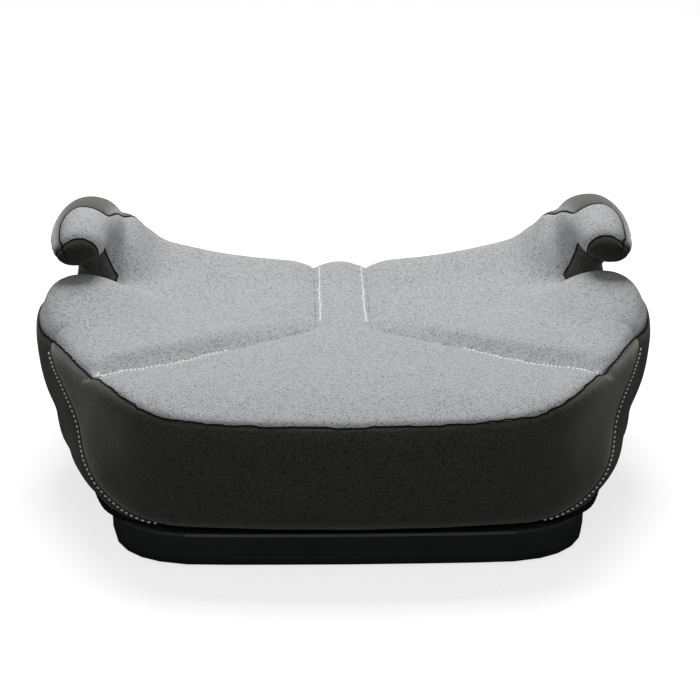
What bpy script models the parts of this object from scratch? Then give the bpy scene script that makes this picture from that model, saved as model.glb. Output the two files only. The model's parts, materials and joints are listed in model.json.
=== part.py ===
"""Backless child booster seat: moulded tray and shell, foam, sewn cover and two belt-horn armrests.

Every dimension is in metres, +Z is up, the front of the seat faces -Y.
"""
import bpy
import bmesh
import numpy as np
from math import cos, sin, tau
from mathutils import Matrix, Vector

# overall sizes
WIDTH = 0.440            # across the widest part of the side panels
DEPTH = 0.386            # front panel to back panel
SEAT_HEIGHT = 0.112      # centre of the seat surface above the floor
ARM_HEIGHT = 0.180       # crest of the armrests above the floor
HEM_HEIGHT = 0.0285      # lower edge of the fabric
BULGE = 0.006            # side panels stand this far outside the rim seam

# layers
COVER = 0.0020           # quilted fabric
CLEAR = 0.0004           # gap between neighbouring layers
SEAM_GAP = 0.0004        # gap between two sewn panels
SLEEVE_GAP = 0.0012      # looser fit of the sewn cover on its padding
FOAM = 0.020             # padding on the seat
ARM_PAD = 0.0085         # padding around the armrest hook
SHELL = 0.0030           # polypropylene shell
ARM_DECK = 0.098         # flat decks of the shell that carry the armrests

# tray, feet and fasteners
FOOT_HEIGHT = 0.0015
FOOT_RADIUS = 0.014
PLUG_RADIUS = 0.0040
FLOOR_WALL = 0.0030
SHOULDER = 0.0250        # step of the tray the hem rests above
STEP = 0.0225            # depth of that step
UPSTAND = 0.0345         # rim of the tray that carries the shell
SCREW_RADIUS = 0.0020
SCREW_HEAD = 0.0042
POST_RADIUS = 0.0065
BOLT_RADIUS = 0.0028
BOLT_HEAD = 0.0055

# mesh density
AROUND = 52              # points around the body
ARM_AROUND = 18          # points around an armrest section

HALF_W = WIDTH / 2 - BULGE
HALF_D = DEPTH / 2 - BULGE / 2

# plan curves, front centre to rear centre: share of half width, share of half depth, share of seat height
RIM = (
    (0.000, -0.989, 0.960), (0.308, -0.971, 0.969), (0.514, -0.926, 0.987), (0.678, -0.800, 1.009),
    (0.790, -0.574, 1.031), (0.874, -0.353, 1.027), (0.944, -0.116, 1.027), (0.991, 0.074, 1.058),
    (1.000, 0.263, 1.080), (0.981, 0.400, 1.045), (0.949, 0.516, 1.004), (0.939, 0.642, 0.982),
    (0.935, 0.779, 0.969), (0.902, 0.905, 0.964), (0.818, 0.982, 0.991), (0.551, 0.995, 1.071),
    (0.000, 0.997, 1.018))
HEM = (
    (0.000, -0.855), (0.313, -0.837), (0.537, -0.805), (0.701, -0.737), (0.785, -0.558), (0.820, -0.358),
    (0.846, -0.095), (0.857, 0.074), (0.860, 0.263), (0.855, 0.400), (0.846, 0.516), (0.841, 0.642),
    (0.822, 0.789), (0.785, 0.868), (0.701, 0.916), (0.505, 0.926), (0.000, 0.926))
TRAY = (
    (0.000, -0.902), (0.313, -0.897), (0.520, -0.886), (0.640, -0.830), (0.715, -0.735), (0.752, -0.600),
    (0.768, -0.358), (0.778, -0.095), (0.783, 0.074), (0.783, 0.263), (0.783, 0.400), (0.780, 0.516),
    (0.778, 0.642), (0.771, 0.768), (0.738, 0.863), (0.664, 0.916), (0.491, 0.937), (0.000, 0.937))

# side panel profile, hem to rim: share of the way from hem curve to rim curve, share of height, bulge share
WALL = (
    (0.00, 0.000, 0.00), (0.20, -0.040, 0.00), (0.44, -0.030, 0.05), (0.64, 0.030, 0.15),
    (0.80, 0.140, 0.30), (0.90, 0.320, 0.55), (0.98, 0.580, 0.85), (1.00, 0.800, 1.00), (1.00, 0.930, 0.80),
    (1.00, 1.000, 0.00))
SHELL_CAP = (0.05, 0.14, 0.24, 0.36, 0.56, 0.80)
CAP = (0.035, 0.08, 0.15, 0.25, 0.40, 0.58, 0.78)

# armrest sections, foot to tip: under point (y, z), upper point (y, z), inner and outer x;
# y and x as shares of the half depth and half width, z as a share of the armrest height
HOOK = (
    (0.558, 0.528, 0.989, 0.531, 0.720, 0.888), (0.553, 0.622, 0.995, 0.633, 0.720, 0.888),
    (0.547, 0.672, 0.995, 0.706, 0.724, 0.902), (0.547, 0.722, 0.989, 0.789, 0.734, 0.949),
    (0.547, 0.783, 0.937, 0.922, 0.752, 1.000), (0.532, 0.814, 0.842, 0.972, 0.771, 1.012),
    (0.495, 0.828, 0.726, 0.997, 0.785, 1.014), (0.437, 0.831, 0.600, 1.000, 0.794, 1.009),
    (0.374, 0.828, 0.474, 0.997, 0.804, 1.000), (0.311, 0.825, 0.363, 0.986, 0.813, 0.991),
    (0.261, 0.833, 0.274, 0.956, 0.832, 0.967))
HOOK_TIP = (0.242, 0.889, 0.902)
FRAME_SECTIONS = 9       # the rigid hook stops this many sections along

SEAM = (
    (0.093, 1.105), (0.093, 0.247), (0.126, 0.155), (0.194, 0.087), (0.316, -0.037), (0.470, -0.189),
    (0.607, -0.347), (0.734, -0.463), (0.991, -0.684))

NESTED = ("fabric_light", "fabric_dark", "foam", "shell_plastic")

MATERIALS = {
    "fabric_light": ((0.52, 0.54, 0.56, 1.0), 0.92, 0.0),
    "fabric_dark": ((0.055, 0.057, 0.056, 1.0), 0.90, 0.0),
    "elastic": ((0.012, 0.012, 0.013, 1.0), 0.85, 0.0),
    "tray_plastic": ((0.016, 0.016, 0.018, 1.0), 0.42, 0.0),
    "shell_plastic": ((0.10, 0.10, 0.105, 1.0), 0.50, 0.0),
    "foam": ((0.62, 0.62, 0.58, 1.0), 0.95, 0.0),
    "rubber": ((0.020, 0.020, 0.020, 1.0), 0.80, 0.0),
    "steel": ((0.60, 0.60, 0.62, 1.0), 0.35, 1.0)}


def clear_scene():
    """Remove the objects of the default scene."""
    for obj in list(bpy.data.objects):
        bpy.data.objects.remove(obj)


def ease(value):
    """Smooth step from 0 to 1, for numbers and arrays."""
    t = np.clip(value, 0.0, 1.0)
    return t * t * (3 - 2 * t)


def mirrored(points):
    """Close a half curve given from the front centre to the rear centre."""
    half = np.array(points, dtype=float)
    other = half[1:-1][::-1].copy()
    other[:, 0] *= -1
    return np.vstack([half, other])


def spline(points, count):
    """Closed Catmull-Rom curve through the points, evenly spaced in parameter."""
    size = len(points)
    out = []
    for step in range(count):
        place = step * size / count
        i = int(place)
        t = place - i
        a, b, c, d = (points[(i + k) % size] for k in (-1, 0, 1, 2))
        out.append(0.5 * (2 * b + (c - a) * t + (2 * a - 5 * b + 4 * c - d) * t * t
                          + (3 * b - a - 3 * c + d) * t ** 3))
    return np.array(out)


def outward(curve):
    """Unit outward normals of a closed plan curve that runs anticlockwise seen from above."""
    along = np.roll(curve, -1, axis=0) - np.roll(curve, 1, axis=0)
    normal = np.stack([along[:, 1], -along[:, 0]], axis=1)
    return normal / np.linalg.norm(normal, axis=1)[:, None]


def plan(points):
    """Sample a plan curve in metres."""
    curve = spline(mirrored([p[:2] for p in points]), AROUND)
    return curve * np.array([HALF_W, HALF_D])


RIM_PLAN = plan(RIM)
HEM_PLAN = plan(HEM)
TRAY_PLAN = plan(TRAY)
RIM_OUT = outward(RIM_PLAN)
HEM_OUT = outward(HEM_PLAN)
TRAY_OUT = outward(TRAY_PLAN)
RIM_Z = spline(mirrored([(0.0, p[2]) for p in RIM]), AROUND)[:, 1] * SEAT_HEIGHT


def seat_height(x, y):
    """Height of the seat surface away from the rim, with thigh bolsters and the dished rear."""
    u = np.abs(x) / HALF_W
    v = y / HALF_D
    front = 0.0025 * np.exp(-((v + 0.67) / 0.24) ** 2) + 0.0045 * ease((u - 0.45) / 0.36)
    rear = 0.015 * ease((v - 0.32) / 0.63) * np.clip(u / 0.63, 0, 1) ** 2 + 0.0065 * ease((v - 0.63) / 0.32)
    spread = np.where(v < 0.29, 0.35, 0.13)
    wing = 0.025 * ease((u - 0.54) / 0.34) * np.exp(-((v - 0.29) / spread) ** 2)
    return SEAT_HEIGHT + front + rear + wing


def shell_height(x, y):
    """Top of the moulded shell, with flat decks under the armrests."""
    u = np.abs(x) / HALF_W
    v = y / HALF_D
    deck = ease((u - 0.50) / 0.09) * ease((v - 0.28) / 0.10)
    return (seat_height(x, y) - COVER - FOAM) * (1 - deck) + ARM_DECK * deck


def wall_ring(share, height, bulge, inset=0.0):
    """Ring on the side wall, between the hem curve and the rim curve."""
    flat = HEM_PLAN + share * (RIM_PLAN - HEM_PLAN)
    normal = HEM_OUT + share * (RIM_OUT - HEM_OUT)
    flat = flat + normal * (bulge * BULGE - inset)
    z = HEM_HEIGHT + height * (RIM_Z - HEM_HEIGHT)
    return np.column_stack([flat, z])


def cap_ring(shrink, inset, height_of, drop=0.0, blend=True):
    """Ring of the top, pulled towards the middle by a share; eased into the rim near the edge."""
    flat = (RIM_PLAN - RIM_OUT * inset) * (1 - shrink)
    z = height_of(flat[:, 0], flat[:, 1]) - drop
    if blend:
        near = np.sqrt(np.clip(shrink / 0.16, 0, 1))
        z = RIM_Z + (z - RIM_Z) * ease(near)
    return np.column_stack([flat, z])


def tray_ring(inset, z, shrink=0.0):
    """Ring of the tray at one height, set in from the outline and pulled towards the middle by a share."""
    flat = (TRAY_PLAN - TRAY_OUT * inset) * (1 - shrink)
    return np.column_stack([flat, np.full(AROUND, z)])


def grid_normals(grid, last_up=True):
    """Unit normals of a grid of rings."""
    up = np.gradient(grid, axis=0)
    around = np.roll(grid, -1, axis=1) - np.roll(grid, 1, axis=1)
    normal = np.cross(around, up)
    return normal / np.linalg.norm(normal, axis=2)[:, :, None]


def material(name):
    """Principled material from the table."""
    found = bpy.data.materials.get(name)
    if found:
        return found
    colour, roughness, metallic = MATERIALS[name]
    made = bpy.data.materials.new(name)
    made.use_nodes = True
    shader = made.node_tree.nodes["Principled BSDF"]
    shader.inputs["Base Color"].default_value = colour
    shader.inputs["Roughness"].default_value = roughness
    shader.inputs["Metallic"].default_value = metallic
    made.diffuse_color = colour
    return made


def finish(name, bm, slot, smooth=True):
    """Turn a bmesh into a named object with outward normals; layers are split alike so they nest."""
    if slot in NESTED:
        bmesh.ops.triangulate(bm, faces=bm.faces, quad_method="SHORT_EDGE")
    bmesh.ops.recalc_face_normals(bm, faces=bm.faces)
    mesh = bpy.data.meshes.new(name)
    bm.to_mesh(mesh)
    bm.free()
    mesh.materials.append(material(slot))
    for polygon in mesh.polygons:
        polygon.use_smooth = smooth
    obj = bpy.data.objects.new(name, mesh)
    bpy.context.collection.objects.link(obj)
    return obj


def loft(name, rings, slot, loop=False, mirror=False):
    """Closed solid through rings; the ends are closed on a middle point unless the rings form a loop."""
    bm = bmesh.new()
    rows = []
    for ring in rings:
        points = np.array(ring)
        if mirror:
            points = points * np.array([-1, 1, 1])
        rows.append([bm.verts.new(p) for p in points])
    pairs = list(zip(rows, rows[1:]))
    if loop:
        pairs.append((rows[-1], rows[0]))
    for lower, upper in pairs:
        count = len(lower)
        for i in range(count):
            j = (i + 1) % count
            bm.faces.new((lower[i], lower[j], upper[j], upper[i]))
    if not loop:
        for row in (rows[0], rows[-1]):
            middle = sum((v.co for v in row), Vector()) / len(row)
            centre = bm.verts.new(middle)
            for i in range(len(row)):
                bm.faces.new((row[i], row[(i + 1) % len(row)], centre))
    return finish(name, bm, slot)


def lathe(name, profile, place, slot, segments=20):
    """Solid of revolution about Z from (radius, z) pairs that start and end on the axis."""
    bm = bmesh.new()
    rows = []
    for radius, z in profile:
        if radius == 0:
            rows.append([bm.verts.new((place[0], place[1], z))])
            continue
        row = []
        for step in range(segments):
            angle = tau * step / segments
            row.append(bm.verts.new((place[0] + radius * cos(angle), place[1] + radius * sin(angle), z)))
        rows.append(row)
    for lower, upper in zip(rows, rows[1:]):
        for i in range(segments):
            j = (i + 1) % segments
            if len(lower) == 1:
                bm.faces.new((lower[0], upper[j], upper[i]))
            elif len(upper) == 1:
                bm.faces.new((lower[i], lower[j], upper[0]))
            else:
                bm.faces.new((lower[i], lower[j], upper[j], upper[i]))
    obj = finish(name, bm, slot)
    obj.data.set_sharp_from_angle(angle=0.7)
    return obj


def cylinder(name, place, radius, low, high, slot, segments=12):
    """Upright cylinder."""
    return lathe(name, ((0, low), (radius, low), (radius, high), (0, high)), place, slot, segments)


def prism(name, outline, low, high, slot):
    """Upright prism over a plan outline."""
    bm = bmesh.new()
    base = [bm.verts.new((x, y, low)) for x, y in outline]
    face = bm.faces.new(base)
    made = bmesh.ops.extrude_face_region(bm, geom=[face])
    top = [item for item in made["geom"] if isinstance(item, bmesh.types.BMVert)]
    bmesh.ops.translate(bm, verts=top, vec=(0, 0, high - low))
    return finish(name, bm, slot, smooth=False)


def slab(name, point, normal, thickness, slot):
    """Large block on one side of a plane, used to part two panels."""
    bm = bmesh.new()
    bmesh.ops.create_cube(bm, size=1.0)
    bmesh.ops.scale(bm, verts=bm.verts, vec=(1.2, 1.2, thickness))
    bmesh.ops.translate(bm, verts=bm.verts, vec=(0, 0, thickness / 2))
    turn = Vector((0, 0, 1)).rotation_difference(Vector(normal)).to_matrix().to_4x4()
    bmesh.ops.transform(bm, verts=bm.verts, matrix=Matrix.Translation(Vector(point)) @ turn)
    return finish(name, bm, slot, smooth=False)


def duplicate(obj, name):
    """Independent copy of an object under a new name."""
    copy = obj.copy()
    copy.data = obj.data.copy()
    copy.name = name
    copy.data.name = name
    bpy.context.collection.objects.link(copy)
    return copy


def combine(obj, tool, operation):
    """Apply one boolean straight away."""
    step = obj.modifiers.new(operation.lower(), "BOOLEAN")
    step.operation = operation
    step.solver = "EXACT"
    step.object = tool
    bpy.context.view_layer.update()
    depsgraph = bpy.context.evaluated_depsgraph_get()
    mesh = bpy.data.meshes.new_from_object(obj.evaluated_get(depsgraph))
    obj.modifiers.clear()
    old = obj.data
    obj.data = mesh
    bpy.data.meshes.remove(old)
    mesh.name = obj.name


def discard(*tools):
    """Remove finished cutting tools."""
    for tool in tools:
        bpy.data.objects.remove(tool)


def hook_grid(depth):
    """Rings of an armrest on the +X side, made smaller by a depth on every side."""
    sections = []
    for low_y, low_z, high_y, high_z, inner, outer in HOOK:
        low = np.array([low_y * HALF_D, low_z * ARM_HEIGHT])
        high = np.array([high_y * HALF_D, high_z * ARM_HEIGHT])
        middle = (low + high) / 2
        reach = (high - low) / 2
        reach = reach * (1 - depth / np.linalg.norm(reach))
        centre = (inner + outer) / 2 * HALF_W
        half = (outer - inner) / 2 * HALF_W - depth
        ring = []
        for step in range(ARM_AROUND):
            angle = tau * step / ARM_AROUND
            c, s = cos(angle), sin(angle)
            a = np.sign(c) * abs(c) ** 0.72
            b = np.sign(s) * abs(s) ** 0.72
            side = middle + reach * b
            ring.append((centre + half * a, side[0], side[1]))
        sections.append(ring)
    return np.array(sections)


def hook_tip(depth):
    """Point that closes the armrest at the front."""
    return np.array([HOOK_TIP[2] * HALF_W, HOOK_TIP[0] * HALF_D + depth, HOOK_TIP[1] * ARM_HEIGHT])


def nose(grid, depth):
    """Extra small ring between the last section and the tip, for a rounded end."""
    tip = hook_tip(depth)
    ring = tip + (grid[-1] - tip) * 0.55
    ring[:, 1] = tip[1] + (ring[:, 1] - tip[1]) * 0.35
    return ring


def foot_layer(grid, z):
    """Flatten the first ring onto one height."""
    grid = grid.copy()
    grid[0, :, 2] = z
    return grid


def build_tray():
    """Moulded base with a rounded lower edge, a shoulder for the hem and an upstand for the shell."""
    low = FOOT_HEIGHT
    floor = low + FLOOR_WALL
    wall = FLOOR_WALL
    rings = [tray_ring(0.0056, low, 0.6), tray_ring(0.0056, low), tray_ring(0.0032, low + 0.0006),
             tray_ring(0.0015, low + 0.0022), tray_ring(0.0005, low + 0.0060), tray_ring(0.0, SHOULDER - 0.0020),
             tray_ring(0.0008, SHOULDER - 0.0003), tray_ring(0.0020, SHOULDER), tray_ring(STEP, SHOULDER),
             tray_ring(STEP, UPSTAND), tray_ring(STEP + wall, UPSTAND),
             tray_ring(STEP + wall, SHOULDER - wall), tray_ring(wall + 0.0020, SHOULDER - wall - 0.001),
             tray_ring(wall + 0.0035, floor + 0.004), tray_ring(0.014, floor),
             tray_ring(0.014, floor, 0.6)]
    tray = loft("base_tray", rings, "tray_plastic")
    for place in screw_places():
        profile = ((0, low - 0.001), (SCREW_HEAD + 0.0012, low - 0.001), (SCREW_HEAD + 0.0012, low + 0.0016),
                   (SCREW_RADIUS + 0.0004, low + 0.0016), (SCREW_RADIUS + 0.0004, floor + 0.001), (0, floor + 0.001))
        hole = lathe("hole_tool", profile, place, "steel", 12)
        combine(tray, hole, "DIFFERENCE")
        discard(hole)
    for place in foot_places():
        hole = cylinder("plug_tool", place, PLUG_RADIUS + 0.0004, low - 0.001, floor + 0.001, "steel", 14)
        combine(tray, hole, "DIFFERENCE")
        discard(hole)
    return tray


def screw_places():
    """Screws that clamp the tray to the posts of the shell."""
    x, y = 0.48 * HALF_W, 0.70 * HALF_D
    return [(sx * x, sy * y + 0.0013) for sy in (-1, 0, 1) for sx in (-1, 1)]


def foot_places():
    """Rubber feet near the tray corners."""
    x, y = 0.62 * HALF_W, 0.60 * HALF_D
    return [(sx * x, sy * y) for sy in (-1, 1) for sx in (-1, 1)]


def bolt_places(side):
    """Two bolts that hold one armrest hook down."""
    x = 0.804 * HALF_W * side
    return [(x, 0.665 * HALF_D), (x, 0.795 * HALF_D)]


def build_shell():
    """Structural shell: turned-in lip on the tray, tall walls, dished top, posts for the screws."""
    lip = UPSTAND + CLEAR
    foot = tray_ring(STEP + 0.0052, lip)
    corner = wall_ring(0.50, 0.0, 0.0, 0.0055)
    corner[:, 2] = lip
    outer = [cap_ring(shrink, 0.010, shell_height, blend=False) for shrink in SHELL_CAP[::-1]]
    outer += [cap_ring(0.0, 0.010, shell_height, drop=0.0020, blend=False),
             wall_ring(1.0, 0.700, 0.3, 0.0045), wall_ring(0.88, 0.560, 0.1, 0.0036),
             wall_ring(0.76, 0.320, 0.0, 0.0036), wall_ring(0.62, 0.120, 0.0, 0.0036), corner, foot]
    high = foot.copy()
    high[:, 2] = lip + SHELL
    bend = wall_ring(0.50, 0.0, 0.0, 0.0055 + SHELL)
    bend[:, 2] = lip + SHELL
    inner = [high, bend, wall_ring(0.62, 0.135, 0.0, 0.0036 + SHELL), wall_ring(0.76, 0.320, 0.0, 0.0036 + SHELL),
             wall_ring(0.88, 0.555, 0.1, 0.0036 + SHELL), wall_ring(1.0, 0.670, 0.3, 0.0045 + SHELL),
             cap_ring(0.0, 0.0100 + SHELL, shell_height, drop=0.0020 + SHELL * 1.25, blend=False)]
    for shrink in SHELL_CAP:
        inner.append(cap_ring(shrink, 0.0100 + SHELL * 0.6, shell_height, drop=SHELL, blend=False))
    shell = loft("seat_shell", outer + inner, "shell_plastic")
    floor = FOOT_HEIGHT + FLOOR_WALL
    for place in screw_places():
        top = float(shell_height(place[0], place[1])) - SHELL * 0.5
        bore = SCREW_RADIUS + 0.0003
        profile = ((0, floor + 0.018), (bore, floor + 0.018), (bore, floor + CLEAR), (POST_RADIUS, floor + CLEAR),
                   (POST_RADIUS, top), (0, top))
        post = lathe("post_tool", profile, place, "shell_plastic", 12)
        combine(shell, post, "UNION")
        discard(post)
    for side in (-1, 1):
        for place in bolt_places(side):
            hole = cylinder("bolt_tool", place, BOLT_RADIUS + 0.0004, ARM_DECK - 0.010, ARM_DECK + 0.004, "steel")
            combine(shell, hole, "DIFFERENCE")
            discard(hole)
    return shell


def body_skin():
    """Rings of the outside of the cover from the hem over the rim to near the middle."""
    rings = [wall_ring(*item) for item in WALL]
    rings += [cap_ring(shrink, 0.0, seat_height) for shrink in CAP]
    return np.array(rings)


def build_foam():
    """Seat pad between the shell and the top of the cover."""
    skin = body_skin()
    inner = skin - grid_normals(skin) * (COVER + SLEEVE_GAP)
    edge = len(WALL) - 3
    top = [inner[i] for i in range(len(skin) - 1, edge - 1, -1)]
    under = [cap_ring(0.0, 0.0100, shell_height, drop=-CLEAR, blend=False)]
    for shrink in SHELL_CAP:
        under.append(cap_ring(shrink, 0.0100, shell_height, drop=-CLEAR, blend=False))
    return loft("seat_foam", top + under, "foam")


def build_cover():
    """Sewn cover: side wall in four panels and the seat in three."""
    skin = body_skin()
    inner = skin - grid_normals(skin) * COVER
    rim = len(WALL) - 1
    wall = loft("wall_tool", list(skin[:rim]) + [skin[rim] * 0.5 + skin[rim - 1] * 0.5]
                + [inner[rim] * 0.5 + inner[rim - 1] * 0.5] + list(inner[:rim][::-1]), "fabric_dark", loop=True)
    edge_out = skin[rim - 1] * 0.42 + skin[rim] * 0.58
    edge_in = inner[rim - 1] * 0.42 + inner[rim] * 0.58
    top = loft("top_tool", list(skin[rim:][::-1]) + [edge_out, edge_in] + list(inner[rim:]), "fabric_light")
    return wall, top


def part_wall(wall):
    """Cut the side wall into front, sides and back along the sewn seams."""
    gap = Vector((0, 0, 0))
    seams = []
    for side in (-1, 1):
        rear = Vector((side * 0.98 * HALF_W, -0.10 * HALF_D, 0.98 * SEAT_HEIGHT))
        low = Vector((side * 0.640 * HALF_W, -0.83 * HALF_D, HEM_HEIGHT))
        through = Vector((side * 0.75, -0.66, 0.0))
        normal = (low - rear).cross(through).normalized()
        if normal.y > 0:
            normal = -normal
        seams.append((rear + gap, normal))
    front = duplicate(wall, "cover_front")
    front.data.materials[0] = material("fabric_dark")
    for point, normal in seams:
        keep = slab("seam_tool", point + normal * SEAM_GAP / 2, normal, 0.6, "fabric_dark")
        combine(front, keep, "INTERSECT")
        discard(keep)
    back_y = 0.93 * HALF_D
    rear_half = slab("back_tool", (0, back_y + SEAM_GAP / 2, 0.1), (0, 1, 0), 0.3, "fabric_dark")
    back = duplicate(wall, "cover_back")
    combine(back, rear_half, "INTERSECT")
    sides = []
    for name, sign, (point, normal) in (("left", -1, seams[0]), ("right", 1, seams[1])):
        panel = duplicate(wall, "cover_side_" + name)
        tools = [slab("half_tool", (0, 0, 0.1), (sign, 0, 0), 0.5, "fabric_dark"),
                 slab("front_tool", point - normal * SEAM_GAP / 2, -normal, 0.6, "fabric_dark"),
                 slab("rear_tool", (0, back_y - SEAM_GAP / 2, 0.1), (0, -1, 0), 0.6, "fabric_dark")]
        for tool in tools:
            combine(panel, tool, "INTERSECT")
        discard(*tools)
        sides.append(panel)
    discard(rear_half)
    return [front, back] + sides


def part_top(top):
    """Cut the seat into the middle panel that widens to the front and the two outer panels."""
    def outline(shift):
        right = [(x * HALF_W + shift, y * HALF_D + shift * 0.5) for x, y in SEAM]
        left = [(-x, y) for x, y in right][::-1]
        return right + [(1.3 * HALF_W, -1.3 * HALF_D), (-1.3 * HALF_W, -1.3 * HALF_D)] + left
    keep = prism("middle_tool", outline(-SEAM_GAP / 2), 0.0, 0.3, "fabric_light")
    away = prism("outer_tool", outline(SEAM_GAP / 2), 0.0, 0.3, "fabric_light")
    middle = duplicate(top, "cover_top_centre")
    combine(middle, keep, "INTERSECT")
    panels = [middle]
    for name, sign in (("left", -1), ("right", 1)):
        panel = duplicate(top, "cover_top_" + name)
        half = slab("half_tool", (0, 0, 0.1), (sign, 0, 0), 0.5, "fabric_light")
        combine(panel, half, "INTERSECT")
        combine(panel, away, "DIFFERENCE")
        discard(half)
        panels.append(panel)
    discard(keep, away)
    return panels


def build_elastic():
    """Elasticated hem that draws the cover in under the shell."""
    rings = []
    for inset, z in ((0.0042, 0.0), (0.0062, 0.0), (0.0068, 0.0010), (0.0068, 0.0034), (0.0042, 0.0034)):
        flat = HEM_PLAN - HEM_OUT * inset
        rings.append(np.column_stack([flat, np.full(AROUND, HEM_HEIGHT + 0.0004 + z - 0.0030)]))
    return loft("hem_elastic", rings, "elastic", loop=True)


def build_armrest(side_name, mirror):
    """Hook frame, padding and sewn sleeve of one armrest."""
    side = -1 if mirror else 1
    foot = ARM_DECK + CLEAR
    made = []
    core = foot_layer(hook_grid(COVER + ARM_PAD + 2 * CLEAR), foot)[:FRAME_SECTIONS]
    frame = loft("armrest_frame_" + side_name, list(core), "shell_plastic", mirror=mirror)
    for place in bolt_places(side):
        hole = cylinder("thread_tool", place, BOLT_RADIUS + 0.0002, foot - 0.002, foot + 0.018, "steel")
        combine(frame, hole, "DIFFERENCE")
        discard(hole)
    made.append(frame)
    foot = ARM_DECK + SLEEVE_GAP
    outer = foot_layer(hook_grid(COVER + SLEEVE_GAP), foot)
    pocket = foot_layer(hook_grid(COVER + ARM_PAD + CLEAR), foot)[:FRAME_SECTIONS]
    end = pocket[-1] + (pocket[-1] - pocket[-2]) / np.linalg.norm(pocket[-1] - pocket[-2], axis=1)[:, None] * 0.001
    pocket = list(pocket) + [end]
    pad = loft("armrest_foam_" + side_name,
               [nose(outer, COVER + SLEEVE_GAP)] + list(outer[::-1]) + pocket, "foam", mirror=mirror)
    made.append(pad)
    outside = foot_layer(hook_grid(0.0), foot)
    inside = foot_layer(hook_grid(COVER), foot)
    sleeve = loft("sleeve_tool", [nose(outside, 0.0)] + list(outside[::-1]) + list(inside) + [nose(inside, COVER)],
                  "fabric_dark", mirror=mirror)
    tip_y = 0.320 * HALF_D
    tip = duplicate(sleeve, "armrest_tip_" + side_name)
    ahead = slab("ahead_tool", (0, tip_y - SEAM_GAP / 2, 0.1), (0, -1, 0), 0.5, "fabric_dark")
    combine(tip, ahead, "INTERSECT")
    behind = slab("behind_tool", (0, tip_y + SEAM_GAP / 2, 0.1), (0, 1, 0), 0.5, "fabric_dark")
    lean = Vector((side * 1.0, 0.16, -0.28)).normalized()
    seam = Vector((side * 0.855 * HALF_W, 0.70 * HALF_D, 0.90 * ARM_HEIGHT))
    out_side = slab("outer_tool", seam + lean * SEAM_GAP / 2, lean, 0.5, "fabric_dark")
    in_side = slab("inner_tool", seam - lean * SEAM_GAP / 2, -lean, 0.5, "fabric_dark")
    cover = duplicate(sleeve, "armrest_cover_" + side_name)
    combine(cover, behind, "INTERSECT")
    combine(cover, out_side, "INTERSECT")
    lining = duplicate(sleeve, "armrest_lining_" + side_name)
    combine(lining, behind, "INTERSECT")
    combine(lining, in_side, "INTERSECT")
    lining.data.materials[0] = material("fabric_light")
    discard(sleeve, ahead, behind, out_side, in_side)
    return made + [tip, cover, lining]


def armrest_clearance(mirror):
    """Tool slightly larger than an armrest, used to open the cover and the seat pad around it."""
    grid = hook_grid(-CLEAR)
    low = grid[0].copy()
    low[:, 2] = ARM_DECK - 0.001
    grid[0, :, 2] = ARM_DECK + 0.001
    return loft("clearance_tool", [low] + list(grid) + [nose(grid, -CLEAR)], "foam", mirror=mirror)


def build_screws():
    """Pan-head screws under the tray and hex-socket bolts under the armrest decks."""
    low = FOOT_HEIGHT
    for index, place in enumerate(screw_places(), 1):
        seat = low + 0.0016 - 0.0002
        profile = ((0, low + 0.0004), (0.0008, low + 0.0004), (SCREW_HEAD - 0.001, low + 0.0002),
                   (SCREW_HEAD, low + 0.0006), (SCREW_HEAD, seat), (SCREW_RADIUS, seat),
                   (SCREW_RADIUS, low + FLOOR_WALL + 0.014), (0.0007, low + FLOOR_WALL + 0.016),
                   (0, low + FLOOR_WALL + 0.0163))
        lathe("tray_screw_%d" % index, profile, place, "steel", 12)
    for name, side in (("left", -1), ("right", 1)):
        for index, place in enumerate(bolt_places(side), 1):
            seat = ARM_DECK - SHELL - 0.0004
            head = seat - 0.0040
            profile = ((0, head + 0.0022), (0.0022, head + 0.0022), (0.0025, head), (BOLT_HEAD - 0.0005, head),
                       (BOLT_HEAD, head + 0.0006), (BOLT_HEAD, seat), (BOLT_RADIUS, seat),
                       (BOLT_RADIUS, ARM_DECK + 0.015), (0.0018, ARM_DECK + 0.017), (0, ARM_DECK + 0.017))
            lathe("armrest_bolt_%s_%d" % (name, index), profile, place, "steel", 12)


def build_feet():
    """Push-in rubber feet with a barb above the tray floor."""
    low = FOOT_HEIGHT
    floor = low + FLOOR_WALL
    names = ("front_left", "front_right", "rear_left", "rear_right")
    for name, place in zip(names, foot_places()):
        profile = ((0, 0.0), (FOOT_RADIUS - 0.0008, 0.0), (FOOT_RADIUS, 0.0005), (FOOT_RADIUS, low - 0.0003),
                   (PLUG_RADIUS, low - 0.0003), (PLUG_RADIUS, floor + 0.0004), (PLUG_RADIUS + 0.0014, floor + 0.0006),
                   (PLUG_RADIUS + 0.0010, floor + 0.0022), (PLUG_RADIUS - 0.0012, floor + 0.0045),
                   (0, floor + 0.0045))
        lathe("foot_" + name, profile, place, "rubber", 16)


def centre_assembly():
    """Put the middle of the assembly's footprint on the origin."""
    points = [obj.matrix_world @ v.co for obj in bpy.data.objects for v in obj.data.vertices]
    shift_x = (min(p.x for p in points) + max(p.x for p in points)) / 2
    shift_y = (min(p.y for p in points) + max(p.y for p in points)) / 2
    for obj in bpy.data.objects:
        obj.data.transform(Matrix.Translation((-shift_x, -shift_y, 0)))


def main():
    """Build every piece of the seat."""
    clear_scene()
    build_tray()
    build_shell()
    pad = build_foam()
    wall, top = build_cover()
    panels = part_wall(wall) + part_top(top)
    discard(wall, top)
    build_elastic()
    for name, mirror in (("left", True), ("right", False)):
        build_armrest(name, mirror)
        tool = armrest_clearance(mirror)
        for piece in [pad] + panels:
            combine(piece, tool, "DIFFERENCE")
        discard(tool)
    build_screws()
    build_feet()
    centre_assembly()


main()
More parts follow.
